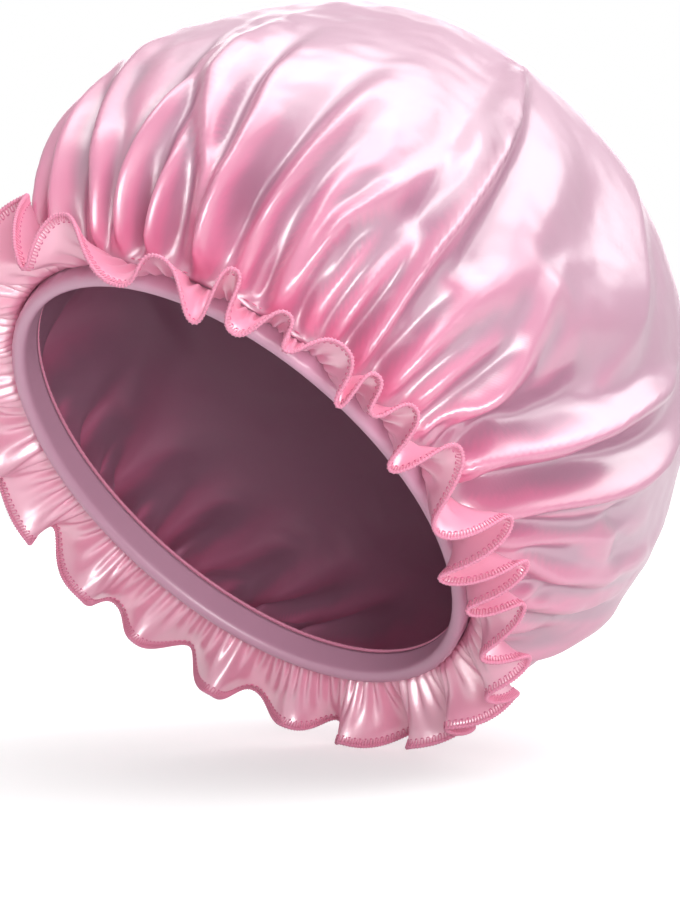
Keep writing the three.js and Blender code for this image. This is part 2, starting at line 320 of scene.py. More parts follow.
@dataclass(frozen=True)
class BandLine:
    """Edge of the head opening: an ellipse in a plane that leans back."""

    half_width: float = 76.5 * MM
    half_length: float = 100.0 * MM
    lean: float = math.radians(45.0)

    def point(self, angle: Array, out: Array, height: Array) -> Array:
        """Points beside the band, in the opening's own plane.

        Args:
            angle: turn from the forehead toward the wearer's left, in radians.
            out: distance out from the casing's head side.
            height: distance along the plane's normal.

        Returns:
            Points as rows.
        """
        across = self.half_length * np.sin(angle)
        ahead = -self.half_width * np.cos(angle)
        length = np.hypot(across, ahead)
        x = self.half_width * np.sin(angle) + out * across / length
        y = -self.half_length * np.cos(angle) + out * ahead / length
        return np.stack([x, y, height + 0.0 * angle], axis=-1)

    def speed(self, angle: Array) -> Array:
        """Length of the band per radian."""
        return np.hypot(self.half_width * np.cos(angle), self.half_length * np.sin(angle))

    def place(self, angle: Array, out: Array, height: Array) -> Array:
        """Points beside the band, in the worn pose."""
        return self.worn(self.point(angle, out, height))

    def worn(self, points: Array) -> Array:
        """Points turned from the opening's plane to the worn pose."""
        cos, sin = math.cos(self.lean), math.sin(self.lean)
        y = points[..., 1] * cos + points[..., 2] * sin
        z = -points[..., 1] * sin + points[..., 2] * cos
        return np.stack([points[..., 0], y, z], axis=-1)


@dataclass
class Dome:
    """Smooth form under the crown's folds, read by turn and by share of the way from top to band."""

    band: BandLine
    half_width: float = 102.5 * MM
    half_length: float = 142.0 * MM
    height: float = 200.0 * MM
    back_shift: float = 31.0 * MM
    widest_share: float = 0.43
    band_out: float = 6.2 * MM
    turns: int = 361
    steps: int = 241
    table: Array = field(init=False)
    normals: Array = field(init=False)
    lengths: Array = field(init=False)

    def __post_init__(self) -> None:
        """Measures the form once, at even shares of each line from the top to the band."""
        widest = self.height * self.widest_share
        rise = self.height - widest
        start = -math.asin(min(0.95, widest / rise))
        angle = np.linspace(0.0, TURN, self.turns)[:, None]
        lift = np.linspace(math.pi / 2, start, 600)[None, :]

        def ellipsoid(at: Array) -> Array:
            x = self.half_width * np.cos(at) * np.sin(angle)
            y = self.back_shift - self.half_length * np.cos(at) * np.cos(angle)
            z = widest + rise * np.sin(at) + 0.0 * angle
            return np.stack([x, y, z], axis=-1)

        edge = self.band.point(angle + 0.0 * lift, self.band_out, 0.0)
        drawn_in = 1.0 - ease((lift - start) / math.radians(75.0))
        lines = ellipsoid(lift) + (edge - ellipsoid(start + 0.0 * lift)) * drawn_in[..., None]
        steps = np.linalg.norm(np.diff(lines, axis=1), axis=2)
        run = np.concatenate([np.zeros((self.turns, 1)), np.cumsum(steps, axis=1)], axis=1)
        self.lengths = run[:, -1]
        share = np.linspace(0.0, 1.0, self.steps)
        self.table = np.empty((self.turns, self.steps, 3))
        for row in range(self.turns):
            for axis in range(3):
                self.table[row, :, axis] = np.interp(share * self.lengths[row], run[row], lines[row, :, axis])
        around = np.gradient(self.table, axis=0)
        down = np.gradient(self.table, axis=1)
        self.normals = unit(np.cross(down, around))
        self.normals[:, 0] = (0.0, 0.0, 1.0)

    def _read(self, table: Array, angle: Array, share: Array) -> Array:
        """Reads a table between its entries."""
        a = (angle % TURN) / TURN * (self.turns - 1)
        b = np.clip(share, 0.0, 1.0) * (self.steps - 1)
        i = np.minimum(a.astype(int), self.turns - 2)
        j = np.minimum(b.astype(int), self.steps - 2)
        fa = (a - i)[:, None]
        fb = (b - j)[:, None]
        near = table[i, j] * (1.0 - fa) + table[i + 1, j] * fa
        far = table[i, j + 1] * (1.0 - fa) + table[i + 1, j + 1] * fa
        return near * (1.0 - fb) + far * fb

    def point(self, angle: Array, share: Array) -> Array:
        """Points of the form."""
        return self._read(self.table, angle, share)

    def normal(self, angle: Array, share: Array) -> Array:
        """Outward normals of the form."""
        return unit(self._read(self.normals, angle, share))

    def line_length(self, angle: Array) -> Array:
        """Length of the line from the top to the band at a turn."""
        return np.interp(angle % TURN, np.linspace(0.0, TURN, self.turns), self.lengths)


# Crown


@dataclass(frozen=True)
class Fold:
    """One fold of the crown: a ridge, or a hollow if its rise is negative.

    Attributes:
        path: turn in degrees and share climbed from the band, for one point after the other.
        rise: height of the ridge, in millimetres.
        sides: half widths toward lower and higher turns, in millimetres.
        hold: share of the path that keeps the full rise before it fades.
    """

    path: tuple[float, ...]
    rise: float
    sides: Pair
    hold: float = 0.15

    def height(self, at: Places, blunt: float, crisp: float) -> Array:
        """Height that the fold adds to the cloth.

        Args:
            at: turns in radians, shares climbed from the band and distances from the crown's upright axis.
            blunt: factor on the fold's widths.
            crisp: ROUND for a round ridge, less for a sharper one.

        Returns:
            One height for each point, in metres.
        """
        angle, climb, hoop = at
        turns = np.radians(self.path[0::2])
        climbs = np.array(self.path[1::2])
        span = max(climbs[-1] - climbs[0], 0.02)
        along = np.clip((climb - climbs[0]) / span, 0.0, 1.0)
        away = turn_between(angle, np.interp(climb, climbs, turns)) * hoop
        side = np.where(away < 0.0, self.sides[0], self.sides[1]) * MM * blunt * (0.8 + 0.4 * along)
        across = np.abs(away) / side
        ridge = np.exp(-(across**crisp))
        trough = np.exp(-(((across - 1.9) / 0.8) ** 2))
        start = ease((climb - climbs[0] + 0.035) / 0.05)
        end = 1.0 - ease((climb - climbs[0] - self.hold * span) / ((1.2 - self.hold) * span))
        return self.rise * MM * start * end * (ridge - 0.25 * trough)


@dataclass(frozen=True)
class ClothSettings:
    """How the satin settles, under the names that Blender gives its cloth settings."""

    quality: int = 6
    mass: float = 0.0001
    tension_stiffness: float = 12.0
    compression_stiffness: float = 12.0
    shear_stiffness: float = 1.0
    bending_stiffness: float = 0.001
    use_pressure: bool = True
    uniform_pressure_force: float = -1.6


@dataclass(frozen=True)
class PressSettings:
    """How folds are sharpened after the satin has settled, and how its valleys and seam are marked for
    painted bounce light in the satin's colour.

    Attributes:
        fold_share: share of each fold's rise that is added again.
        fold_blunt: factor on the folds' widths.
        fold_crisp: roundness of the folds, as in Fold.height.
        crease_crisp: roundness of the creases.
        gather_share: share of the gathers that is added again.
        valleys: rounds of smoothing, and the depth that counts as full.
        valley_cap: greatest mark of painted bounce light in a valley.
        painted_seam_bounce: mark of painted bounce light on the cloth at the seam.
        mark_cap: greatest mark of all.
    """

    fold_share: float = 0.6
    fold_blunt: float = 0.8
    fold_crisp: float = 1.35
    crease_crisp: float = 1.3
    gather_share: float = 0.4
    valleys: tuple[tuple[int, float], ...] = ((14, 1.4 * MM), (70, 3.4 * MM))
    valley_cap: float = 0.85
    painted_seam_bounce: float = 0.4
    mark_cap: float = 0.9


@dataclass
class Crown:
    """Satin panel gathered into the band: laid out in folds, settled as cloth, then pressed.

    The rises of its gathers are in millimetres, and its taper is where it starts and how long it is.
    """

    dome: Dome
    cells: int = 110
    settle_frames: int = 26
    gravity: float = 0.03
    near_side: float = math.radians(55.0)
    long_gathers: float = math.radians(122.0)
    gathers: int = 54
    loose_folds: int = 15
    loose_rise: float = 4.5
    middle_rise: float = 3.0
    least_rise: float = 1.6
    far_rise: float = 1.8
    puckers: float = 100.0
    fullness: float = 2.5
    taper: Pair = (0.42, 0.58)
    pucker: float = 1.2 * MM
    seam_drop: float = 4.0 * MM
    thickness: float = 0.4 * MM
    flat_radius: float = 88.5 * MM
    laid_share: float = 0.85
    laid_blunt: float = 1.15
    cloth: ClothSettings = ClothSettings()
    press: PressSettings = PressSettings()
    folds: tuple[Fold, ...] = (
        Fold((-44.0, 0.0, -47.0, 0.3), 2.6, (4.5, 4.0)),
        Fold((-34.0, 0.0, -36.0, 0.3), 2.8, (4.5, 4.0)),
        Fold((-26.0, 0.0, -27.0, 0.32), 3.6, (3.6, 4.8)),
        Fold((-17.0, 0.0, -18.0, 0.15, -17.5, 0.34), 3.2, (3.2, 4.3)),
        Fold((-11.5, 0.0, -12.0, 0.12, -11.5, 0.36), 3.4, (3.6, 4.8)),
        Fold((-1.0, 0.0, -1.5, 0.08, -2.5, 0.13, -7.0, 0.22, -9.0, 0.38), 4.8, (4.8, 5.4)),
        Fold((4.0, 0.0, 6.5, 0.11, 8.0, 0.17, 9.0, 0.22, 7.5, 0.3, 4.0, 0.44), 6.0, (3.6, 6.0)),
        Fold((12.0, 0.0, 14.0, 0.11, 13.5, 0.16, 12.0, 0.26), 4.9, (3.2, 5.4)),
        Fold((24.0, 0.03, 20.5, 0.11, 17.0, 0.16, 13.0, 0.22, 11.0, 0.3, 8.0, 0.5), 4.9, (4.8, 9.6), 0.4),
        Fold((24.0, 0.0, 24.5, 0.13, 23.5, 0.19, 21.0, 0.25, 18.5, 0.38), 6.3, (2.9, 7.2)),
        Fold((31.5, 0.0, 33.0, 0.08, 34.0, 0.14, 34.5, 0.23, 34.0, 0.4), 6.3, (3.6, 5.4)),
        Fold((40.0, 0.0, 41.0, 0.12, 40.0, 0.22), 4.5, (2.8, 4.2)),
        Fold((42.5, 0.0, 44.5, 0.13, 48.5, 0.22, 51.0, 0.36), 5.6, (3.2, 6.0)),
        Fold((49.5, 0.0, 50.5, 0.2), 4.3, (2.6, 3.8)),
        Fold((53.0, 0.0, 55.5, 0.2), 4.0, (2.6, 3.8)),
        Fold((60.0, 0.0, 60.0, 0.07, 58.5, 0.15, 56.5, 0.3, 53.5, 0.45, 49.5, 0.58), 4.4, (3.4, 4.0), 0.6),
        Fold((68.5, 0.0, 67.5, 0.24), 4.2, (3.5, 4.5)),
        Fold((72.5, 0.0, 76.0, 0.22), 3.8, (3.5, 3.5)),
        Fold((78.0, 0.0, 82.0, 0.1, 80.0, 0.163, 75.5, 0.25, 73.0, 0.36), 4.8, (4.0, 4.5)),
        Fold((87.5, 0.0, 91.5, 0.09, 94.5, 0.15, 96.5, 0.22, 99.0, 0.32, 105.0, 0.47), 5.2, (4.4, 4.4), 0.4),
        Fold((91.5, 0.0, 93.5, 0.07, 97.0, 0.15, 99.0, 0.23), 3.2, (3.0, 3.0)),
        Fold((100.0, 0.0, 103.0, 0.09, 106.0, 0.16, 109.0, 0.24, 114.0, 0.46), 5.2, (4.4, 4.4), 0.5),
        Fold((107.0, 0.0, 112.0, 0.08, 118.0, 0.18, 125.0, 0.3), 4.4, (4.0, 4.0)),
        Fold((113.0, 0.0, 115.0, 0.05, 122.0, 0.1, 128.0, 0.18, 139.0, 0.4), 4.4, (5.0, 7.0)),
        Fold((124.0, 0.0, 131.0, 0.1, 141.0, 0.28), 4.0, (5.0, 7.0)),
        Fold((135.0, 0.0, 141.0, 0.1, 152.0, 0.32), 3.2, (5.0, 7.0)),
    )
    creases: tuple[Fold, ...] = (
        Fold((60.0, 0.02, 58.5, 0.15, 57.5, 0.23, 56.5, 0.3, 53.5, 0.45, 48.5, 0.6), 1.8, (2.2, 2.4), 0.8),
        Fold((55.5, 0.34, 51.0, 0.43, 48.0, 0.56), 2.2, (2.4, 2.4), 0.6),
        Fold((63.5, 0.15, 67.5, 0.21, 71.0, 0.28, 75.5, 0.36, 81.0, 0.47), 2.6, (16.0, 22.0), 0.8),
        Fold((92.0, 0.26, 90.0, 0.36, 86.5, 0.43, 82.0, 0.57, 80.0, 0.7), 3.6, (11.0, 6.0), 0.6),
        Fold((87.5, 0.02, 91.5, 0.09, 96.5, 0.22, 99.0, 0.32, 104.0, 0.46), 1.0, (3.0, 3.2), 0.8),
        Fold((100.0, 0.02, 103.0, 0.09, 109.0, 0.24, 113.0, 0.42), 1.0, (3.0, 3.2), 0.8),
        Fold((92.0, 0.02, 95.5, 0.09, 101.0, 0.22, 104.5, 0.34), 1.5, (2.4, 2.6), 0.6),
        Fold((103.5, 0.02, 107.0, 0.09, 114.0, 0.24, 117.5, 0.36), 1.4, (2.4, 2.6), 0.6),
    )
    hollows: tuple[Fold, ...] = (
        Fold((21.0, 0.15, 19.0, 0.22, 17.5, 0.27, 15.0, 0.38), -3.4, (4.0, 4.5), 0.5),
        Fold((30.0, 0.08, 31.0, 0.19, 30.0, 0.38), -3.6, (6.0, 4.5), 0.4),
        Fold((53.5, 0.2, 51.0, 0.27, 48.5, 0.35, 46.0, 0.45, 42.0, 0.6), -4.2, (11.0, 5.0), 0.5),
        Fold((63.0, 0.2, 60.5, 0.3, 56.5, 0.43, 52.5, 0.55), -3.4, (4.0, 9.0), 0.5),
        Fold((82.0, 0.03, 89.0, 0.13, 90.5, 0.2, 90.0, 0.34), -5.2, (7.0, 5.5), 0.5),
        Fold((73.0, 0.3, 73.5, 0.42, 75.0, 0.6), -3.6, (11.0, 14.0), 0.4),
        Fold((95.0, 0.02, 100.0, 0.15, 104.0, 0.26, 109.0, 0.44), -4.8, (5.0, 5.0), 0.5),
        Fold((107.0, 0.04, 115.0, 0.15, 122.0, 0.32), -3.6, (5.0, 6.0), 0.4),
        Fold((-31.0, 0.0, -27.0, 0.25, -23.0, 0.5), -14.0, (40.0, 18.0), 0.2),
        Fold((-6.0, 0.26, -6.0, 0.5), 1.0, (14.0, 18.0), 0.5),
        Fold((121.0, 0.22, 126.0, 0.5), -5.0, (24.0, 30.0), 0.5),
        Fold((-75.0, 0.4, -75.0, 0.8), 4.0, (50.0, 50.0), 0.4),
    )

    def _spread(self, mesh: Mesh) -> Array:
        """Turns the square grid into a round panel of radius 1, with the forehead toward negative y."""
        grid = read_points(mesh)
        a, b = grid[:, 0], grid[:, 1]
        wide = np.abs(a) > np.abs(b)
        reach = np.where(wide, a, b)
        safe = np.where(np.abs(reach) < 1e-9, 1.0, reach)
        swing = np.where(wide, b, a) / safe * (math.pi / 4)
        swing = np.where(wide, swing, math.pi / 2 - swing)
        return np.stack([reach * np.cos(swing), reach * np.sin(swing)], axis=-1)

    def _polar(self, panel: Array) -> tuple[Array, Array]:
        """Turn from the forehead and share of the way from middle to seam, of points on the panel."""
        reach = np.hypot(panel[:, 0], panel[:, 1])
        return np.arctan2(panel[:, 0], -panel[:, 1]) % TURN, reach / (1.0 - 2.0 / self.cells)

    def _hoop(self, angle: Array, share: Array) -> Array:
        """Distance of the smooth form from the crown's upright axis."""
        centre = self.dome.point(angle, share)
        return np.hypot(centre[:, 0], centre[:, 1] - self.dome.back_shift * (1.0 - np.clip(share, 0.0, 1.0)))

    def _gather_height(self, angle: Array, climb: Array) -> Array:
        """Height of the small gathers at the band and of the loose folds of the far side."""

        def drift(turn: Array) -> Array:
            return 1.2 * np.sin(turn + 0.6) + 0.6 * np.sin(2.0 * turn + 2.2) + 0.4 * np.sin(3.0 * turn + 4.1)

        fine = np.sin(self.gathers * angle + 1.4 * drift(angle + 2.0) + 0.9 * np.sin(7.0 * angle))
        sway = 0.8 * np.sin(6.0 * climb + 3.0 * angle)
        middle = np.sin(self.gathers // 2 * angle + 1.3 * drift(angle + 1.0) + sway)
        broad = np.sin(self.loose_folds * angle + drift(angle) + 1.3 * np.sin(4.0 * climb + 2.0 * angle))
        from_near = angle - self.near_side
        far_side = 1.0 - 0.8 * ease((np.cos(from_near - 0.2 * np.sin(from_near)) - 0.1) / 0.4)
        reach = 0.08 + 0.12 * far_side
        near_band = np.clip((reach - climb) / (reach - 0.02), 0.0, 1.0)
        off_edge = np.clip(climb / 0.03, 0.0, 1.0)
        long_folds = ease((np.cos(angle - self.long_gathers) - 0.8) / 0.15)
        rise = self.least_rise + self.far_rise * far_side
        height = rise * fine * near_band * (0.3 + 0.7 * off_edge) * (1.0 - 0.8 * long_folds)
        height += self.middle_rise * middle * np.exp(-(((climb - 0.14) / 0.12) ** 2)) * off_edge * far_side
        uneven = 0.65 + 0.35 * np.sin(4.0 * angle + 1.0)
        height += self.loose_rise * broad * uneven * np.exp(-(((climb - 0.2) / 0.15) ** 2)) * far_side
        return height * MM

    def _puckers(self, angle: Array, climb: Array) -> Array:
        """Height of the smallest gathers, which the seam pinches between the folds."""
        pinch = np.sin(self.puckers * angle + 2.6 * np.sin(3.0 * angle + 1.0) + 1.7 * np.sin(8.0 * angle))
        strength = 0.55 + 0.45 * np.sin(13.0 * angle + 2.0 * np.sin(5.0 * angle + 0.4))
        reach = 0.1 + 0.05 * np.sin(17.0 * angle + 1.1)
        return self.pucker * pinch * strength * (1.0 - ease((climb - 0.02) / reach))

    def _flat_panel(self, angle: Array, share: Array) -> Array:
        """The panel before it is gathered: nearly flat, but narrower toward the band than a full circle."""
        mean_length = float(self.dome.lengths.mean())
        step = np.linspace(0.0, 1.0, 400)
        wanted = self.flat_radius * self.fullness
        start, length = self.taper
        low, high = -1.0, 1.0
        for _ in range(40):
            slope_end = (low + high) / 2
            slope = np.where(step < start, 1.0, 1.0 - (1.0 - slope_end) * (step - start) / length)
            middle = (slope[1:] + slope[:-1]) / 2
            radius = np.concatenate([[0.0], np.cumsum(middle * np.diff(step))]) * mean_length
            if radius[-1] < wanted:
                low = slope_end
            else:
                high = slope_end
        fall = np.sqrt(np.clip(1.0 - middle**2, 0.0, 1.0)) * np.diff(step)
        depth = -np.concatenate([[0.0], np.cumsum(fall)]) * mean_length
        scale = self.dome.line_length(angle) / mean_length
        out = np.interp(share, step, radius) * scale
        down = np.interp(share, step, depth) * scale
        return np.stack([out * np.sin(angle), -out * np.cos(angle), down], axis=-1)

    def _settle(self, piece: Piece, rest: Array, held: Array) -> None:
        """Lets the satin settle under slight pressure from inside, and keeps the result.

        Args:
            piece: the laid-out panel.
            rest: vertex positions of the panel before it is gathered.
            held: which vertices the band holds.
        """
        piece.shape_key_add(name="gathered")
        flat = piece.shape_key_add(name="flat")
        flat.data.foreach_set("co", rest.ravel())
        group = piece.vertex_groups.new(name="band")
        group.add([int(i) for i in np.flatnonzero(held)], 1.0, "REPLACE")
        modifier = piece.modifiers.new("satin", "CLOTH")
        settings = modifier.settings
        for name, value in asdict(self.cloth).items():
            setattr(settings, name, value)
        settings.rest_shape_key = flat
        settings.vertex_group_mass = group.name
        settings.effector_weights.gravity = self.gravity
        modifier.collision_settings.use_collision = False
        modifier.point_cache.frame_start = 1
        modifier.point_cache.frame_end = self.settle_frames
        for frame in range(1, self.settle_frames + 1):
            bpy.context.scene.frame_set(frame)
        apply_modifiers(piece)
        bpy.context.scene.frame_set(1)

    def _press(self, mesh: Mesh) -> None:
        """Sharpens the folds, presses creases and hollows into the settled cloth and marks its valleys and
        seam for painted bounce light.
        """
        flat = np.empty(len(mesh.loops) * 2)
        layer = mesh.uv_layers[PANEL_UV]
        layer.data.foreach_get("uv", flat)
        panel = np.zeros((len(mesh.vertices), 2))
        panel[loop_vertices(mesh)] = flat.reshape(-1, 2)
        mesh.uv_layers.remove(layer)
        angle, share = self._polar(panel)
        share = np.clip(share, 0.0, 1.0)
        climb = 1.0 - share
        at = (angle, climb, self._hoop(angle, share))
        height = np.zeros(len(panel))
        for fold in self.folds:
            height += self.press.fold_share * fold.height(at, self.press.fold_blunt, self.press.fold_crisp)
        for crease in self.creases:
            height += crease.height(at, 1.0, self.press.crease_crisp)
        for hollow in self.hollows:
            height += hollow.height(at, 1.0, ROUND)
        height += self.press.gather_share * self._gather_height(angle, climb)
        height *= ease(climb / 0.03)
        height += self._puckers(angle, climb) * ease((climb - 0.003) / 0.014)
        outward = self.dome.band.worn(self.dome.normal(angle, share))
        write_points(mesh, read_points(mesh) + outward * height[:, None])
        # Painted bounce light: deep valleys near the band and the cloth at the seam are marked, and the
        # satin's colour turns to its folded pink there.
        near_band = 1.0 - ease((climb - 0.06) / 0.36)
        painted_seam_bounce = self.press.painted_seam_bounce * (1.0 - ease((climb - 0.01) / 0.13))
        depth = np.zeros(len(panel))
        for rounds, full in self.press.valleys:
            depth += valley_depth(mesh, rounds) / full
        deep = np.clip(depth, 0.0, self.press.valley_cap) * near_band
        marks = mesh.attributes.new(PAINTED_BOUNCE, "FLOAT", "POINT")
        marks.data.foreach_set("value", np.clip(deep + painted_seam_bounce, 0.0, self.press.mark_cap))

    def build(self, material: Material) -> Piece:
        """Makes the crown.

        Args:
            material: the satin.

        Returns:
            The crown's object.
        """
        bm = bmesh.new()
        bmesh.ops.create_grid(bm, x_segments=self.cells, y_segments=self.cells, size=1.0)
        mesh = to_mesh(bm, "crown")
        panel = self._spread(mesh)
        angle, share = self._polar(panel)
        held = share > 1.0 - 1e-6
        below = share > 1.0 + 1e-3
        share = np.clip(share, 0.0, 1.0)
        climb = 1.0 - share
        at = (angle, climb, self._hoop(angle, share))
        height = self._gather_height(angle, climb)
        for fold in self.folds:
            height += self.laid_share * fold.height(at, self.laid_blunt, ROUND)
        points = self.dome.point(angle, share) + self.dome.normal(angle, share) * height[:, None]
        edge = self.dome.band.point(angle, self.dome.band_out, -self.seam_drop)
        points = np.where(below[:, None], edge, points)
        rest = self._flat_panel(angle, share)
        rest[below, 2] -= self.seam_drop
        corners = loop_vertices(mesh)
        mesh.uv_layers.new(name=CLOTH_UV).data.foreach_set("uv", rest[corners, :2].ravel())
        mesh.uv_layers.new(name=PANEL_UV).data.foreach_set("uv", panel[corners].ravel())
        write_points(mesh, self.dome.band.worn(points))
        mesh.flip_normals()
        piece = add_piece("crown", mesh, material, Slot.SATIN)
        self._settle(piece, self.dome.band.worn(rest), held)
        finer = piece.modifiers.new("finer", "SUBSURF")
        finer.levels = 1
        finer.render_levels = 1
        finer.uv_smooth = "NONE"
        apply_modifiers(piece)
        self._press(piece.data)
        piece.data.shade_smooth()
        thicken(piece, self.thickness)
        return piece


# Frill and hem


@dataclass
class Frill:
    """Satin strip that leaves the seam outward and swings up and down in uneven waves.

    Attributes:
        band: edge of the head opening.
        width: width of the strip.
        root_out: distance of the seam from the casing's head side.
        root_height: height of the seam over the opening's plane.
        root_droop: how far the strip hangs at the seam, in radians.
        thickness: thickness of the satin.
        columns_per_wave: faces along the strip for each turning point.
        rows: faces across the strip.
        hidden_waves: turning points of the far side.
        traced: turning points of the near side, each with its turn from the forehead, its hang below the
            opening's plane and the width of its rounded lobe round the band, in degrees.
    """

    band: BandLine
    width: float = 27.5 * MM
    root_out: float = 6.0 * MM
    root_height: float = -4.6 * MM
    root_droop: float = math.radians(36.0)
    thickness: float = 0.4 * MM
    columns_per_wave: int = 30
    rows: int = 12
    hidden_waves: int = 24
    traced: tuple[Triple, ...] = (
        (-49.0, 55.0, 6.0), (-42.0, 12.0, 7.0), (-35.0, 62.0, 7.0), (-28.0, 0.0, 7.0),
        (-21.5, 48.0, 5.0), (-15.0, -30.0, 8.0), (-5.5, 46.0, 4.0), (1.0, 13.0, 8.0),
        (14.0, 54.0, 12.0), (20.8, 22.0, 9.0), (30.4, 58.0, 5.0), (32.6, 17.0, 6.0),
        (37.0, 51.0, 7.0), (43.0, 17.0, 5.5), (46.3, 44.0, 4.0), (53.3, 20.0, 9.0),
        (58.4, 48.0, 4.0), (60.0, 14.0, 5.5), (63.8, 42.0, 4.0), (68.5, 17.0, 6.0),
        (73.0, 53.0, 5.0), (78.4, 8.0, 7.0), (88.0, 62.0, 9.0), (95.5, 6.0, 6.0),
        (98.8, 69.0, 6.0), (105.0, 9.0, 6.0), (108.0, 67.0, 6.0), (113.0, 20.0, 6.0),
    )

    def __post_init__(self) -> None:
        """Adds the waves of the far side and spreads the strip's root evenly below them."""
        waves = list(self.traced)
        last = waves[-1][0]
        gap = (360.0 + waves[0][0] - last) / (self.hidden_waves + 1)
        for index in range(self.hidden_waves):
            turn = last + gap * (index + 1) + 1.2 * math.sin(2.3 * index + 1.0)
            droop = 34.0 + (-22.0 if index % 2 else 22.0) + 9.0 * math.sin(1.7 * index)
            waves.append((turn, droop, 6.0 + 1.4 * math.sin(1.3 * index)))
        self.count = len(waves)
        turns, self.droops, lobes = np.radians(waves).T
        self.lobes = lobes * 1.6
        self.around = np.concatenate([turns - TURN, turns, turns + TURN])
        kernel = np.exp(-((np.arange(-4, 5) / 1.7) ** 2))
        kernel /= kernel.sum()
        padded = np.pad(self.around, 4, mode="reflect", reflect_type="odd")
        self.root = np.convolve(padded, kernel, mode="valid")

    def _root_angle(self, at: Array) -> Array:
        """Turn of the strip's root for a count of turning points."""
        base = np.floor(at).astype(int)
        i = base + self.count
        before, here, after, later = self.root[i - 1], self.root[i], self.root[i + 1], self.root[i + 2]
        return cubic(at - base, here, after, (after - before) / 2, (later - here) / 2)

    def _hem_angle(self, at: Array) -> Array:
        """Turn of the hem, which runs back on itself between two rounded turning points."""
        base = np.floor(at).astype(int)
        i = base + self.count
        first = self.lobes[base % self.count]
        last = self.lobes[(base + 1) % self.count]
        return cubic(at - base, self.around[i], self.around[i + 1], first, last)

    def point(self, at: Array, share: Array) -> Array:
        """Points of the strip in the opening's plane.

        Args:
            at: count of turning points from the first one.
            share: share of the way from the seam to the hem.

        Returns:
            Points as rows.
        """
        base = np.floor(at).astype(int)
        t = at - base
        blend = 0.5 * ease(t) + 0.25 * (1.0 - np.cos(math.pi * t))
        here = self.droops[base % self.count]
        after = self.droops[(base + 1) % self.count]
        hem_droop = here * (1.0 - blend) + after * blend
        turned = 0.6 + 0.4 * share
        droop = self.root_droop + (hem_droop - self.root_droop) * turned
        lap = TURN * at / self.count
        droop = droop + math.radians(4.0) * np.sin(14.0 * lap + 5.0 * share) * share
        root = self._root_angle(at)
        angle = root + (self._hem_angle(at) - root) * share**1.2
        reach = self.width * share
        gathers = 1.15 * MM * np.sin(TURN * 3.0 * at + 1.9 * np.sin(7.0 * lap) + 1.3 * np.sin(19.0 * lap))
        gathers = gathers * ease(share / 0.15) * (1.0 - ease((share - 0.15) / 0.75))
        out = self.root_out + reach * np.cos(droop) + gathers * np.sin(droop)
        height = self.root_height - reach * np.sin(droop) + gathers * np.cos(droop)
        return self.band.point(angle, out, height)

    def _steps(self, share: float) -> tuple[Array, Array]:
        """Counts of turning points along the strip, and the steps between them at a share of its width."""
        at = np.linspace(0.0, self.count, self.count * 100 + 1)
        line = self.point(at, np.full_like(at, share))
        return at, np.linalg.norm(np.diff(line, axis=0), axis=1)

    def hem_frames(self, pitch: float, share: float) -> Frames:
        """Even steps along the strip at one share of its width.

        Args:
            pitch: wanted step, in metres.
            share: share of the way from the seam to the hem.

        Returns:
            What frames gives, in the opening's plane.
        """
        at, steps = self._steps(share)
        run = np.concatenate([[0.0], np.cumsum(steps)])
        count = int(round(run[-1] / pitch))
        at = np.interp(np.arange(count) / count * run[-1], run, at)
        return self.frames(at, np.full_like(at, share))

    def frames(self, at: Array, share: Array) -> Frames:
        """Points, directions along the hem, directions toward the hem and upper normals."""
        points = self.point(at, share)
        along = unit(self.point(at + 2e-3, share) - self.point(at - 2e-3, share))
        toward = points - self.point(at, share - 1e-3)
        toward = unit(toward - along * np.sum(toward * along, axis=1, keepdims=True))
        return points, along, toward, np.cross(toward, along)

    def hem_length(self) -> float:
        """Length of the hem, which is the length of the strip before gathering."""
        return float(self._steps(1.0)[1].sum())

    def build(self, material: Material) -> Piece:
        """Makes the frill.

        Args:
            material: the satin.

        Returns:
            The frill's object.
        """

        def shape(u: Array, v: Array) -> Array:
            return self.band.worn(self.point(u * self.count, v))

        size = (self.hem_length(), self.width)
        mesh = wrap_mesh("frill", self.count * self.columns_per_wave, self.rows, shape, size)
        piece = add_piece("frill", mesh, material, Slot.SATIN)
        thicken(piece, self.thickness)
        return piece


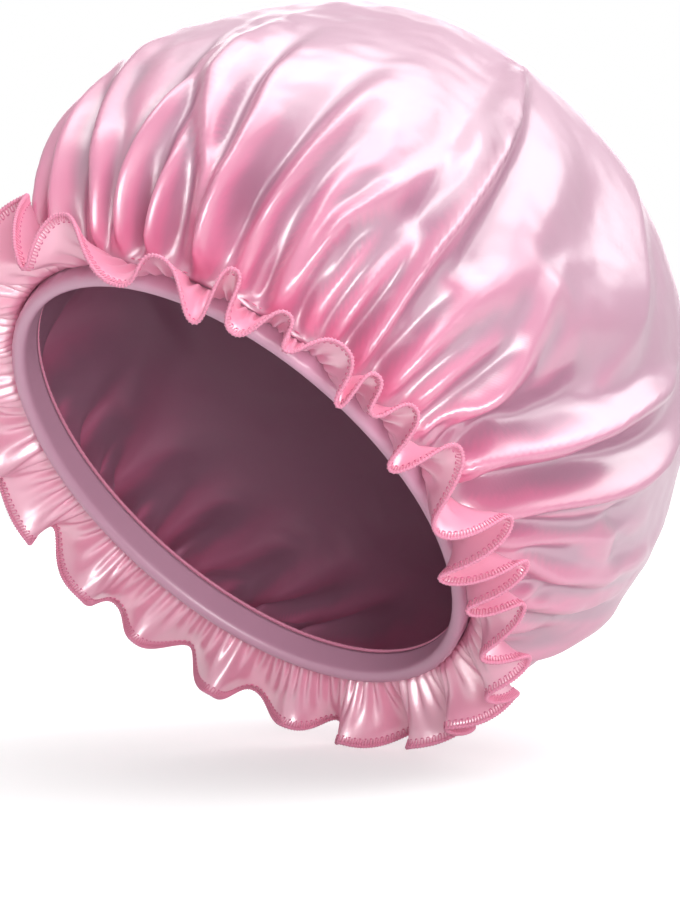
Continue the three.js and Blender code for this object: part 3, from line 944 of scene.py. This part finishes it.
@dataclass
class Hem:
    """Overlocked hem of the frill: a bead of thread, the wraps over it and the needle row."""

    frill: Frill
    stitch_pitch: float = 2.2 * MM
    wrap_pitch: float = 1.15 * MM
    inset: float = 2.6 * MM
    bead_radius: float = 0.62 * MM
    thread_radius: float = 0.26 * MM
    dash_length: float = 1.1 * MM
    dash_radius: float = 0.27 * MM
    dash_lift: float = 0.3 * MM

    def _places(self, pitch: float, share: float, lift: float) -> list[Matrix]:
        """Matrices that stand small threads on the strip in the worn pose."""
        points, along, toward, normal = self.frill.hem_frames(pitch, share)
        worn = self.frill.band.worn
        return stand(worn(points + normal * lift), worn(along), worn(toward), worn(normal))

    def _bead(self) -> Mesh:
        """Round bead of looper thread along the raw edge."""
        count = self.frill.count

        def shape(u: Array, v: Array) -> Array:
            points, _, toward, normal = self.frill.frames(u * count, np.ones_like(u))
            turn = (v * TURN)[:, None]
            ring = toward * np.cos(turn) * 1.1 + normal * np.sin(turn) * 0.95
            return self.frill.band.worn(points + ring * self.bead_radius)

        return wrap_mesh("bead", count * 24, 7, shape, (1.6, 0.004))

    def _wrap(self) -> Mesh:
        """One wrap of thread from the needle row over the edge and back under."""
        path = np.array([
            (0.5, -2.4, 0.2), (0.34, -1.6, 0.34), (0.12, -0.6, 0.56), (0.0, 0.35, 0.54),
            (0.0, 0.72, 0.0), (-0.1, 0.35, -0.54), (-0.3, -1.0, -0.5), (-0.5, -2.4, -0.2),
        ]) * MM
        steps = np.linspace(0.0, 1.0, len(path))

        def follow(v: Array) -> Array:
            return np.stack([np.interp(v, steps, path[:, axis]) for axis in range(3)], axis=-1)

        def shape(u: Array, v: Array) -> Array:
            run = unit(follow(v + 0.02) - follow(v - 0.02))
            side = unit(np.array([1.0, 0.0, 0.0]) - run * run[:, :1])
            over = np.cross(run, side)
            turn = (u * TURN)[:, None]
            return follow(v) + (side * np.cos(turn) + over * np.sin(turn)) * self.thread_radius

        return wrap_mesh("wrap", 5, 7, shape, (0.0014, 0.009))

    def build(self, edge_thread: Material, needle_thread: Material) -> list[Piece]:
        """Makes the hem's two pieces.

        Args:
            edge_thread: finish of the looper thread.
            needle_thread: finish of the needle thread.

        Returns:
            The overlock and the needle row.
        """
        wraps = repeat_mesh("wraps", self._wrap(), self._places(self.wrap_pitch, 1.0, 0.0))
        overlock = join_meshes("frill_overlock", [self._bead(), wraps])
        share = 1.0 - self.inset / self.frill.width
        places = self._places(self.stitch_pitch, share, self.dash_lift)
        places += self._places(self.stitch_pitch, share, -self.dash_lift)
        dash = stitch_mesh("dash", 6, self.dash_length, self.dash_radius, 0.0014)
        dashes = repeat_mesh("frill_needle_stitch", dash, places)
        return [
            add_piece("frill_overlock", overlock, edge_thread, Slot.THREAD),
            add_piece("frill_needle_stitch", dashes, needle_thread, Slot.THREAD),
        ]


# Band


@dataclass
class ElasticBand:
    """Folded satin casing, the elastic inside it and the threads that close them."""

    band: BandLine
    casing_out: float = 5.5 * MM
    casing_drop: float = 11.4 * MM
    casing_wall: float = 0.5 * MM
    casing_inset: float = 0.4 * MM
    casing_pucker_mm: float = 0.16
    elastic_width: float = 10.0 * MM
    elastic_thickness: float = 1.0 * MM
    elastic_lap: float = 16.0 * MM
    elastic_top: float = -0.3 * MM
    elastic_out: float = 1.1 * MM
    lap_out: float = 1.3 * MM
    ribs: float = 9.0
    rib_height: float = 0.06 * MM
    tack_radius: float = 0.3 * MM
    tack_out: float = 4.1 * MM
    tack_top: float = -1.5 * MM
    tack_drop: float = 7.6 * MM
    overlock_loops: int = 214
    overlock_height: float = 1.35 * MM
    loop_height: float = 0.18 * MM
    stitch_pitch: float = 2.6 * MM
    stitch_length: float = 2.1 * MM
    stitch_radius: float = 0.26 * MM
    stitch_out: float = 6.75 * MM
    stitch_height: float = -2.0 * MM
    columns: int = 480

    @property
    def _nape_speed(self) -> float:
        """Length of the band per radian at the nape."""
        return float(self.band.speed(np.array([math.pi]))[0])

    def _casing(self, material: Material) -> Piece:
        """Satin strip folded lengthwise round the elastic, slightly puckered by the seam."""
        inner = self.casing_inset
        outer = self.casing_out - self.casing_inset
        radius = (outer - inner) / 2
        straight = self.casing_drop - radius - self.casing_inset
        total = 2 * straight + math.pi * radius

        def shape(u: Array, v: Array) -> Array:
            run = v * total
            bend = np.clip((run - straight) / (math.pi * radius), 0.0, 1.0) * math.pi
            down = np.minimum(run, straight) - np.maximum(run - straight - math.pi * radius, 0.0)
            out = inner + radius - radius * np.cos(bend)
            height = -down - radius * np.sin(bend)
            angle = u * TURN
            puckers = np.sin(83 * angle + 1.2 * np.sin(7 * angle)) + 0.6 * np.sin(47 * angle + 2.0)
            face = ease((v - 0.5) / 0.2) * ease((total - run) / (4 * MM)) * 0.9 + 0.1
            return self.band.place(angle, out + puckers * self.casing_pucker_mm * MM * face, height)

        mesh = wrap_mesh("elastic_casing", self.columns, 22, shape, (0.56, total))
        piece = add_piece("elastic_casing", mesh, material, Slot.CASING)
        thicken(piece, self.casing_wall)
        return piece

    def _elastic(self, material: Material) -> Piece:
        """Woven elastic, ribbed lengthwise, with its ends lapped at the nape."""
        lap = self.elastic_lap / self._nape_speed
        ramp = 1.2 * lap
        start, end = -math.pi - lap / 2, math.pi + lap / 2

        def shape(u: Array, v: Array) -> Array:
            angle = start + (end - start) * u
            raised = ease((angle - (end - lap - ramp - 0.02)) / ramp)
            out = self.elastic_out + self.lap_out * raised
            around = v * TURN
            half = self.elastic_width / 2
            flat = np.sign(np.cos(around)) * np.abs(np.cos(around)) ** 0.35
            thick = np.sign(np.sin(around)) * np.abs(np.sin(around)) ** 0.3
            ribs = self.rib_height * np.cos(flat * self.ribs * math.pi)
            depth = (self.elastic_thickness / 2 - self.rib_height + ribs) * thick
            height = self.elastic_top - half + half * flat
            return self.band.place(angle, out + self.elastic_thickness / 2 + depth, height)

        mesh = wrap_mesh("elastic_band", 320, 56, shape, (0.58, 0.022))
        bm = bmesh.new()
        bm.from_mesh(mesh)
        bmesh.ops.holes_fill(bm, edges=[edge for edge in bm.edges if edge.is_boundary], sides=0)
        bmesh.ops.recalc_face_normals(bm, faces=bm.faces)
        bm.to_mesh(mesh)
        bm.free()
        return add_piece("elastic_band", mesh, material, Slot.ELASTIC)

    def _tack(self, material: Material) -> Piece:
        """Zigzag tack across the lapped ends of the elastic: one thread with closed ends."""
        lean = np.array([0.3, 0.5, 0.8])

        def path(u: Array) -> Array:
            swing = 2.0 / math.pi * np.arcsin(np.sin(u * TURN * 3.0)) * 0.28 * self.elastic_lap
            angle = math.pi + swing / self._nape_speed
            return self.band.point(angle, self.tack_out, self.tack_top - self.tack_drop * u)

        def shape(u: Array, v: Array) -> Array:
            run = unit(path(u + 1e-4) - path(u - 1e-4))
            side = unit(np.cross(run, lean))
            over = np.cross(run, side)
            turn = (v * TURN)[:, None]
            taper = np.sqrt(np.clip(1.0 - (2.0 * u - 1.0) ** 16, 1e-4, 1.0))[:, None]
            ring = (side * np.cos(turn) + over * np.sin(turn)) * self.tack_radius
            return self.band.worn(path(u) + ring * taper)

        mesh = wrap_mesh("elastic_join_tack", 72, 6, shape, (0.05, 0.002))
        return add_piece("elastic_join_tack", mesh, material, Slot.THREAD)

    def _seam_overlock(self, material: Material) -> Piece:
        """Overlock inside the crown: a soft roll of raw edges with slanted loops of thread over it."""
        centre_out = self.casing_out / 2
        half = self.casing_out / 2 - 0.1 * MM

        def shape(u: Array, v: Array) -> Array:
            angle = u * TURN
            around = v * TURN
            slant = self.overlock_loops * angle / 2 + 0.9 * np.sin(around)
            ridge = self.loop_height * np.abs(np.sin(slant)) ** 0.6
            out = centre_out + (half - 0.2 * MM + ridge) * np.cos(around)
            height = self.overlock_height + (0.8 * MM + ridge) * np.sin(around)
            return self.band.place(angle, out, height)

        mesh = wrap_mesh("seam_overlock", self.overlock_loops * 6, 14, shape, (0.58, 0.014))
        return add_piece("seam_overlock", mesh, material, Slot.THREAD)

    def _seam_stitch(self, material: Material) -> Piece:
        """Row of lockstitches that holds the gathered crown to the band."""
        stitch = stitch_mesh("stitch", 5, self.stitch_length, self.stitch_radius, 0.0016)
        angles = np.linspace(0.0, TURN, 4001)
        run = np.concatenate([[0.0], np.cumsum(self.band.speed(angles[:-1]) * np.diff(angles))])
        count = int(run[-1] / self.stitch_pitch)
        at = np.interp(np.arange(count) / count * run[-1], run, angles)

        def row(angle: Array) -> Array:
            return self.band.place(angle, self.stitch_out, self.stitch_height)

        points = row(at)
        along = unit(row(at + 1e-3) - points)
        up = np.broadcast_to(self.band.worn(np.array([[0.0, 0.0, 1.0]])), along.shape)
        mesh = repeat_mesh("band_seam_stitch", stitch, stand(points, along, up, np.cross(along, up)))
        return add_piece("band_seam_stitch", mesh, material, Slot.THREAD)

    def build(self, finishes: "Finishes") -> list[Piece]:
        """Makes the casing, the elastic and the seam's threads."""
        return [
            self._casing(finishes.casing),
            self._elastic(finishes.elastic),
            self._tack(finishes.white_thread),
            self._seam_overlock(finishes.edge_thread),
            self._seam_stitch(finishes.needle_thread),
        ]


# Finishes


class Nodes:
    """Short way to add nodes and links to one node tree."""

    def __init__(self, tree: Tree) -> None:
        """Keeps the tree."""
        self.tree = tree

    def add(self, kind: str, **values: object) -> Node:
        """Adds a node and sets its properties."""
        node = self.tree.nodes.new(kind)
        for name, value in values.items():
            setattr(node, name, value)
        return node

    def link(self, source: Socket, target: Socket) -> None:
        """Links two sockets."""
        self.tree.links.new(source, target)

    def feed(self, socket: Socket, value: object) -> None:
        """Links a socket, or sets a constant value."""
        if isinstance(value, Socket):
            self.link(value, socket)
        else:
            socket.default_value = value

    def fill(self, node: Node, values: dict[str, object]) -> Node:
        """Feeds the named inputs of a node."""
        for name, value in values.items():
            self.feed(node.inputs[name], value)
        return node

    def math(self, operation: str, first: object, second: object = 0.0) -> Socket:
        """Adds a Math node fed by sockets or numbers."""
        node = self.add("ShaderNodeMath", operation=operation)
        self.feed(node.inputs[0], first)
        self.feed(node.inputs[1], second)
        return node.outputs[0]

    def mix(self, share: Socket, first: object, second: object) -> Socket:
        """Adds a colour Mix node fed by sockets or colours."""
        node = self.add("ShaderNodeMix", data_type="RGBA")
        self.link(share, node.inputs[0])
        for index, colour in ((6, first), (7, second)):
            self.feed(node.inputs[index], (*colour, 1.0) if isinstance(colour, tuple) else colour)
        return node.outputs[2]

    def noise(self, dimensions: str, **values: object) -> Socket:
        """Adds a Noise node and feeds its inputs."""
        node = self.add("ShaderNodeTexNoise", noise_dimensions=dimensions)
        return self.fill(node, values).outputs[0]

    def bump(self, height: Socket, strength: float, distance: float) -> Socket:
        """Adds a Bump node."""
        values = {"Height": height, "Strength": strength, "Distance": distance}
        return self.fill(self.add("ShaderNodeBump"), values).outputs[0]


def new_group(name: str, place: str, amounts: dict[str, float], results: tuple[str, ...]) -> Nodes:
    """Starts a shader node group.

    Args:
        name: name of the group.
        place: name of its vector input.
        amounts: its number inputs with their usual values.
        results: names of its number outputs.

    Returns:
        The nodes of the group, with no node yet.
    """
    group = bpy.data.node_groups.new(name, "ShaderNodeTree")
    group.interface.new_socket(name=place, in_out="INPUT", socket_type="NodeSocketVector")
    for amount, usual in amounts.items():
        socket = group.interface.new_socket(name=amount, in_out="INPUT", socket_type="NodeSocketFloat")
        socket.default_value = usual
    for result in results:
        group.interface.new_socket(name=result, in_out="OUTPUT", socket_type="NodeSocketFloat")
    return Nodes(group)


def new_material(name: str) -> tuple[Material, Nodes, Node]:
    """A new material, its nodes and its Principled shader."""
    material = bpy.data.materials.new(name)
    material.use_nodes = True
    return material, Nodes(material.node_tree), material.node_tree.nodes["Principled BSDF"]


def weave_group() -> Tree:
    """Satin weave: long floats of yarn with slight slubs and creases from handling.

    Returns:
        A node group from a cloth position in metres to a height, a slub mask and a tint mask.
    """
    amounts = {"Yarns per metre": 2400.0, "Crumple": 1.0}
    nodes = new_group("satin_weave", "Cloth", amounts, ("Height", "Slub", "Tint"))
    entry = nodes.add("NodeGroupInput").outputs
    cloth = entry["Cloth"]
    split = nodes.add("ShaderNodeSeparateXYZ")
    nodes.link(cloth, split.inputs[0])
    across = nodes.math("MULTIPLY", split.outputs[0], entry["Yarns per metre"])
    down = nodes.math("MULTIPLY", split.outputs[1], entry["Yarns per metre"])
    yarn = nodes.math("SINE", nodes.math("MULTIPLY", across, TURN))
    slanted = nodes.math("ADD", nodes.math("MULTIPLY", down, 0.2), across)
    float_run = nodes.math("SINE", nodes.math("MULTIPLY", slanted, TURN))
    weave = nodes.math("MULTIPLY", nodes.math("ADD", nodes.math("MULTIPLY", float_run, 0.5), yarn), 0.08)
    stretch = nodes.add("ShaderNodeVectorMath", operation="MULTIPLY")
    stretch.inputs[1].default_value = (900.0, 60.0, 0.0)
    nodes.link(cloth, stretch.inputs[0])
    slub = nodes.noise("2D", Vector=stretch.outputs[0], Scale=1.0, Detail=3.0)
    creases = nodes.noise("2D", Vector=cloth, Scale=55.0, Detail=2.0, Distortion=0.6)
    soft = nodes.math("MULTIPLY", nodes.math("MULTIPLY", creases, entry["Crumple"]), 2.2)
    total = nodes.math("ADD", nodes.math("ADD", weave, nodes.math("MULTIPLY", slub, 0.3)), soft)
    tint = nodes.noise("2D", Vector=cloth, Scale=14.0, Detail=1.0)
    nodes.fill(nodes.add("NodeGroupOutput"), {"Height": total, "Slub": slub, "Tint": tint})
    return nodes.tree


def ply_group() -> Tree:
    """Twisted plies of a sewing thread or yarn.

    Returns:
        A node group from a position in metres to a height and a mask of painted shade in the grooves between
        plies, with random tone from the fuzz.
    """
    nodes = new_group("thread_ply", "Place", {"Twists per metre": 1500.0}, ("Height", "Shade"))
    entry = nodes.add("NodeGroupInput").outputs
    split = nodes.add("ShaderNodeSeparateXYZ")
    nodes.link(entry["Place"], split.inputs[0])
    slant = nodes.math("ADD", split.outputs[0], split.outputs[1])
    ply = nodes.math("ABSOLUTE", nodes.math("SINE", nodes.math("MULTIPLY", slant, entry["Twists per metre"])))
    fuzz = nodes.noise("3D", Vector=entry["Place"], Scale=900.0)
    height = nodes.math("ADD", ply, nodes.math("MULTIPLY", fuzz, 0.4))
    # Painted shade: darker in the grooves between plies, with random tone from the fuzz.
    shade = nodes.math("MULTIPLY", nodes.math("ADD", ply, fuzz), 0.5)
    nodes.fill(nodes.add("NodeGroupOutput"), {"Height": height, "Shade": shade})
    return nodes.tree


@dataclass(frozen=True)
class SatinFinish:
    """Glossy polyester satin.

    Attributes:
        name: name of the material.
        pale: lighter colour of the dye.
        deep: darker colour of the dye.
        folded: colour of painted bounce light, mixed in where the crown's valleys and seam are marked.
        gloss: refractive index that gives the yarn's sheen.
        roughness: least and greatest roughness along the yarn.
        crumple: strength of the soft dents from handling.
        relief: strength and depth of the weave.
    """

    name: str
    pale: Triple
    deep: Triple
    folded: Triple
    gloss: float
    roughness: Pair = (0.27, 0.35)
    crumple: float = 1.0
    relief: Pair = (0.25, 0.0002)

    def make(self, weave: Tree) -> Material:
        """Makes the material.

        Args:
            weave: the shared weave group.

        Returns:
            The material.
        """
        material, nodes, shader = new_material(self.name)
        cloth = nodes.add("ShaderNodeUVMap", uv_map=CLOTH_UV).outputs[0]
        woven = nodes.add("ShaderNodeGroup", node_tree=weave)
        nodes.fill(woven, {"Cloth": cloth, "Crumple": self.crumple})
        dye = nodes.mix(woven.outputs["Tint"], self.deep, self.pale)
        # Painted bounce light: where the crown is marked, the dye mixes toward the folded colour.
        valley = nodes.add("ShaderNodeAttribute", attribute_name=PAINTED_BOUNCE).outputs["Fac"]
        polish = nodes.add("ShaderNodeMapRange")
        least, greatest = self.roughness
        nodes.fill(polish, {"Value": woven.outputs["Slub"], "To Min": least, "To Max": greatest})
        nodes.fill(shader, {
            "Base Color": nodes.mix(valley, dye, self.folded),
            "Roughness": polish.outputs[0],
            "Normal": nodes.bump(woven.outputs["Height"], *self.relief),
            "IOR": self.gloss,
            "Anisotropic": 0.4,
        })
        return material


@dataclass(frozen=True)
class ThreadFinish:
    """Polyester sewing thread, or woven elastic yarn."""

    name: str
    light: Triple
    dark: Triple
    roughness: float = 0.5
    twists: float = 1500.0
    relief: Pair = (0.5, 0.0001)

    def make(self, ply: Tree) -> Material:
        """Makes the material.

        Args:
            ply: the shared ply group.

        Returns:
            The material.
        """
        material, nodes, shader = new_material(self.name)
        place = nodes.add("ShaderNodeUVMap", uv_map=CLOTH_UV).outputs[0]
        spun = nodes.add("ShaderNodeGroup", node_tree=ply)
        nodes.fill(spun, {"Place": place, "Twists per metre": self.twists})
        nodes.fill(shader, {
            # Painted shade: the thread turns from its light colour to its dark one in the grooves between
            # plies.
            "Base Color": nodes.mix(spun.outputs["Shade"], self.dark, self.light),
            "Normal": nodes.bump(spun.outputs["Height"], *self.relief),
            "Roughness": self.roughness,
            "Sheen Weight": 0.2,
        })
        return material


class Finishes:
    """All materials of the bonnet."""

    def __init__(self) -> None:
        """Makes each material once."""
        weave = weave_group()
        ply = ply_group()
        # Saturated pink of painted bounce light in the crown's valleys and at the seam.
        folded = (0.75, 0.21, 0.375)
        self.satin = SatinFinish(
            "pink_satin", (0.455, 0.22, 0.325), (0.425, 0.19, 0.29), folded, 2.4
        ).make(weave)
        # Painted light: the frill's satin is the crown's cloth made brighter and more saturated, for light
        # the frill gets from bounce and through its thin cloth.
        self.frill = SatinFinish(
            "frill_satin", (0.94, 0.41, 0.565), (0.91, 0.36, 0.515), folded, 2.75, (0.26, 0.34), 0.7
        ).make(weave)
        self.casing = SatinFinish(
            "casing_cloth", (0.7, 0.38, 0.52), (0.65, 0.33, 0.47), folded, 1.8, (0.34, 0.4), 0.4
        ).make(weave)
        self.edge_thread = ThreadFinish("edge_thread", (0.88, 0.34, 0.5), (0.83, 0.28, 0.43)).make(ply)
        self.needle_thread = ThreadFinish("needle_thread", (0.79, 0.21, 0.385), (0.7, 0.155, 0.31)).make(ply)
        self.white_thread = ThreadFinish("white_thread", (0.85, 0.82, 0.83), (0.7, 0.66, 0.68)).make(ply)
        self.elastic = ThreadFinish(
            "elastic_yarn", (0.86, 0.83, 0.84), (0.68, 0.64, 0.66), 0.75, 3200.0
        ).make(ply)


# Studio


@dataclass(frozen=True)
class Softbox:
    """One rectangular studio light, set by its brightness so that its size can change alone."""

    name: str
    place: Triple
    size: Pair
    brightness: float
    aim: Triple = (0.0, 0.07, 0.05)

    def build(self) -> None:
        """Adds the light to the scene."""
        light = bpy.data.lights.new(self.name, "AREA")
        light.shape = "RECTANGLE"
        light.size, light.size_y = self.size
        light.energy = self.brightness * math.pi * self.size[0] * self.size[1]
        lamp = bpy.data.objects.new(self.name, light)
        lamp.location = self.place
        lamp.rotation_euler = (Vector(self.aim) - Vector(self.place)).to_track_quat("-Z", "Y").to_euler()
        bpy.context.scene.collection.objects.link(lamp)


@dataclass
class Studio:
    """Pale floor, soft lights and the camera.

    Attributes:
        azimuth: turn of the camera from the bonnet's front.
        elevation: height of the camera as an angle.
        distance: distance of the camera from the bonnet's origin.
        pixels_per_metre: scale of the picture at that distance.
        frame: size of the picture, in pixels.
        origin_pixel: place of the bonnet's origin in the picture.
        ambient: brightness of the room as a light.
        floor_half: half of the floor's length and width.
        floor_colour: colour of the floor.
        floor_glow: near and far distance from the middle, and the floor's glow at both.
        lights: the studio lights.
    """

    azimuth: float = math.radians(37.5)
    elevation: float = math.radians(3.0)
    distance: float = 1.3
    pixels_per_metre: float = 2850.0
    frame: Pair = (680.0, 916.0)
    origin_pixel: Pair = (250.0, 468.0)
    ambient: float = 0.28
    floor_half: float = 6.0
    floor_colour: tuple[float, ...] = (0.66, 0.66, 0.66, 1.0)
    floor_glow: tuple[float, ...] = (0.6, 2.5, 0.55, 0.87)
    lights: tuple[Softbox, ...] = (
        Softbox("front_softbox", (0.36, -0.4, 1.2), (0.6, 0.6), 3.8),
        Softbox("right_softbox", (0.58, 0.15, 1.2), (0.6, 0.6), 2.65),
        Softbox("back_softbox", (0.41, 0.8, 1.05), (0.65, 1.15), 3.15),
        Softbox("side_softbox", (0.98, 0.48, 0.8), (0.6, 0.6), 1.75),
        Softbox("over_softbox", (-0.15, 0.3, 1.3), (0.8, 1.0), 1.55),
        Softbox("far_softbox", (-0.7, 0.9, 0.3), (0.9, 0.7), 3.0),
        Softbox("low_softbox", (0.98, -0.78, 0.1), (0.7, 0.4), 8.4, (0.0, 0.0, -0.02)),
    )

    def _seen(self, nodes: Nodes) -> Socket:
        """Tells rays that show the background from rays that only carry light.

        Args:
            nodes: the tree that asks.

        Returns:
            A value of one for camera, glossy and transmission rays.
        """
        path = nodes.add("ShaderNodeLightPath").outputs
        mirrored = nodes.math("MAXIMUM", path["Is Glossy Ray"], path["Is Transmission Ray"])
        return nodes.math("MAXIMUM", path["Is Camera Ray"], mirrored)

    def _floor(self, level: float) -> None:
        """Adds the pale floor under the bonnet."""
        bm = bmesh.new()
        bmesh.ops.create_grid(bm, x_segments=1, y_segments=1, size=self.floor_half)
        bmesh.ops.translate(bm, vec=(0.0, 0.0, level), verts=bm.verts)
        mesh = to_mesh(bm, "floor")
        floor = bpy.data.objects.new("floor", mesh)
        bpy.context.scene.collection.objects.link(floor)
        material, nodes, shader = new_material("pale_floor")
        reach = nodes.add("ShaderNodeVectorMath", operation="LENGTH")
        nodes.link(nodes.add("ShaderNodeTexCoord").outputs["Object"], reach.inputs[0])
        near, far, dim, bright = self.floor_glow
        spread = nodes.add("ShaderNodeMapRange")
        nodes.fill(spread, {"Value": reach.outputs["Value"], "From Min": near, "From Max": far})
        nodes.fill(spread, {"To Min": dim, "To Max": bright})
        nodes.fill(shader, {
            "Base Color": self.floor_colour,
            "Roughness": 0.9,
            "Specular IOR Level": 0.1,
            "Emission Color": WHITE,
            "Emission Strength": nodes.math("MULTIPLY", self._seen(nodes), spread.outputs[0]),
        })
        mesh.materials.append(material)
        floor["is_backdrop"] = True

    def _world(self) -> None:
        """White to the camera, a soft grey to the bonnet."""
        world = bpy.data.worlds.new("studio")
        bpy.context.scene.world = world
        world.use_nodes = True
        nodes = Nodes(world.node_tree)
        background = world.node_tree.nodes["Background"]
        seen = nodes.math("MULTIPLY", self._seen(nodes), 1.0 - self.ambient)
        nodes.fill(background, {"Color": WHITE, "Strength": nodes.math("ADD", seen, self.ambient)})

    def _camera(self) -> None:
        """Sets the camera so that the bonnet sits in the frame as it does in the picture."""
        camera = bpy.data.cameras.new("camera")
        body = bpy.data.objects.new("camera", camera)
        bpy.context.scene.collection.objects.link(body)
        cos, sin = math.cos(self.elevation), math.sin(self.elevation)
        back = Vector((math.sin(self.azimuth) * cos, -math.cos(self.azimuth) * cos, sin))
        right = Vector((math.cos(self.azimuth), math.sin(self.azimuth), 0.0))
        up = back.cross(right)
        shift_x = (self.frame[0] / 2 - self.origin_pixel[0]) / self.pixels_per_metre
        shift_y = (self.origin_pixel[1] - self.frame[1] / 2) / self.pixels_per_metre
        body.location = right * shift_x + up * shift_y + back * self.distance
        body.rotation_euler = (-back).to_track_quat("-Z", "Y").to_euler()
        camera.sensor_width = 36.0
        camera.lens = camera.sensor_width * self.distance * self.pixels_per_metre / self.frame[1]
        bpy.context.scene.camera = body

    def build(self, level: float) -> None:
        """Makes the studio.

        Args:
            level: height of the floor.
        """
        self._camera()
        self._floor(level)
        self._world()
        for light in self.lights:
            light.build()
        bpy.context.scene.view_settings.view_transform = "Standard"


def main() -> None:
    """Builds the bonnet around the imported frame."""
    logging.basicConfig(level=logging.INFO, format="%(name)s %(message)s")
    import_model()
    band = BandLine()
    finishes = Finishes()
    frill = Frill(band)
    crown_piece = Crown(Dome(band)).build(finishes.satin)
    frill_piece = frill.build(finishes.frill)
    hem_pieces = Hem(frill).build(finishes.edge_thread, finishes.needle_thread)
    band_pieces = ElasticBand(band).build(finishes)
    strip = (frill.hem_length(), frill.width)
    shown_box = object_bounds()
    Studio().build(shown_box[0][2])


if __name__ == "__main__":
    main()
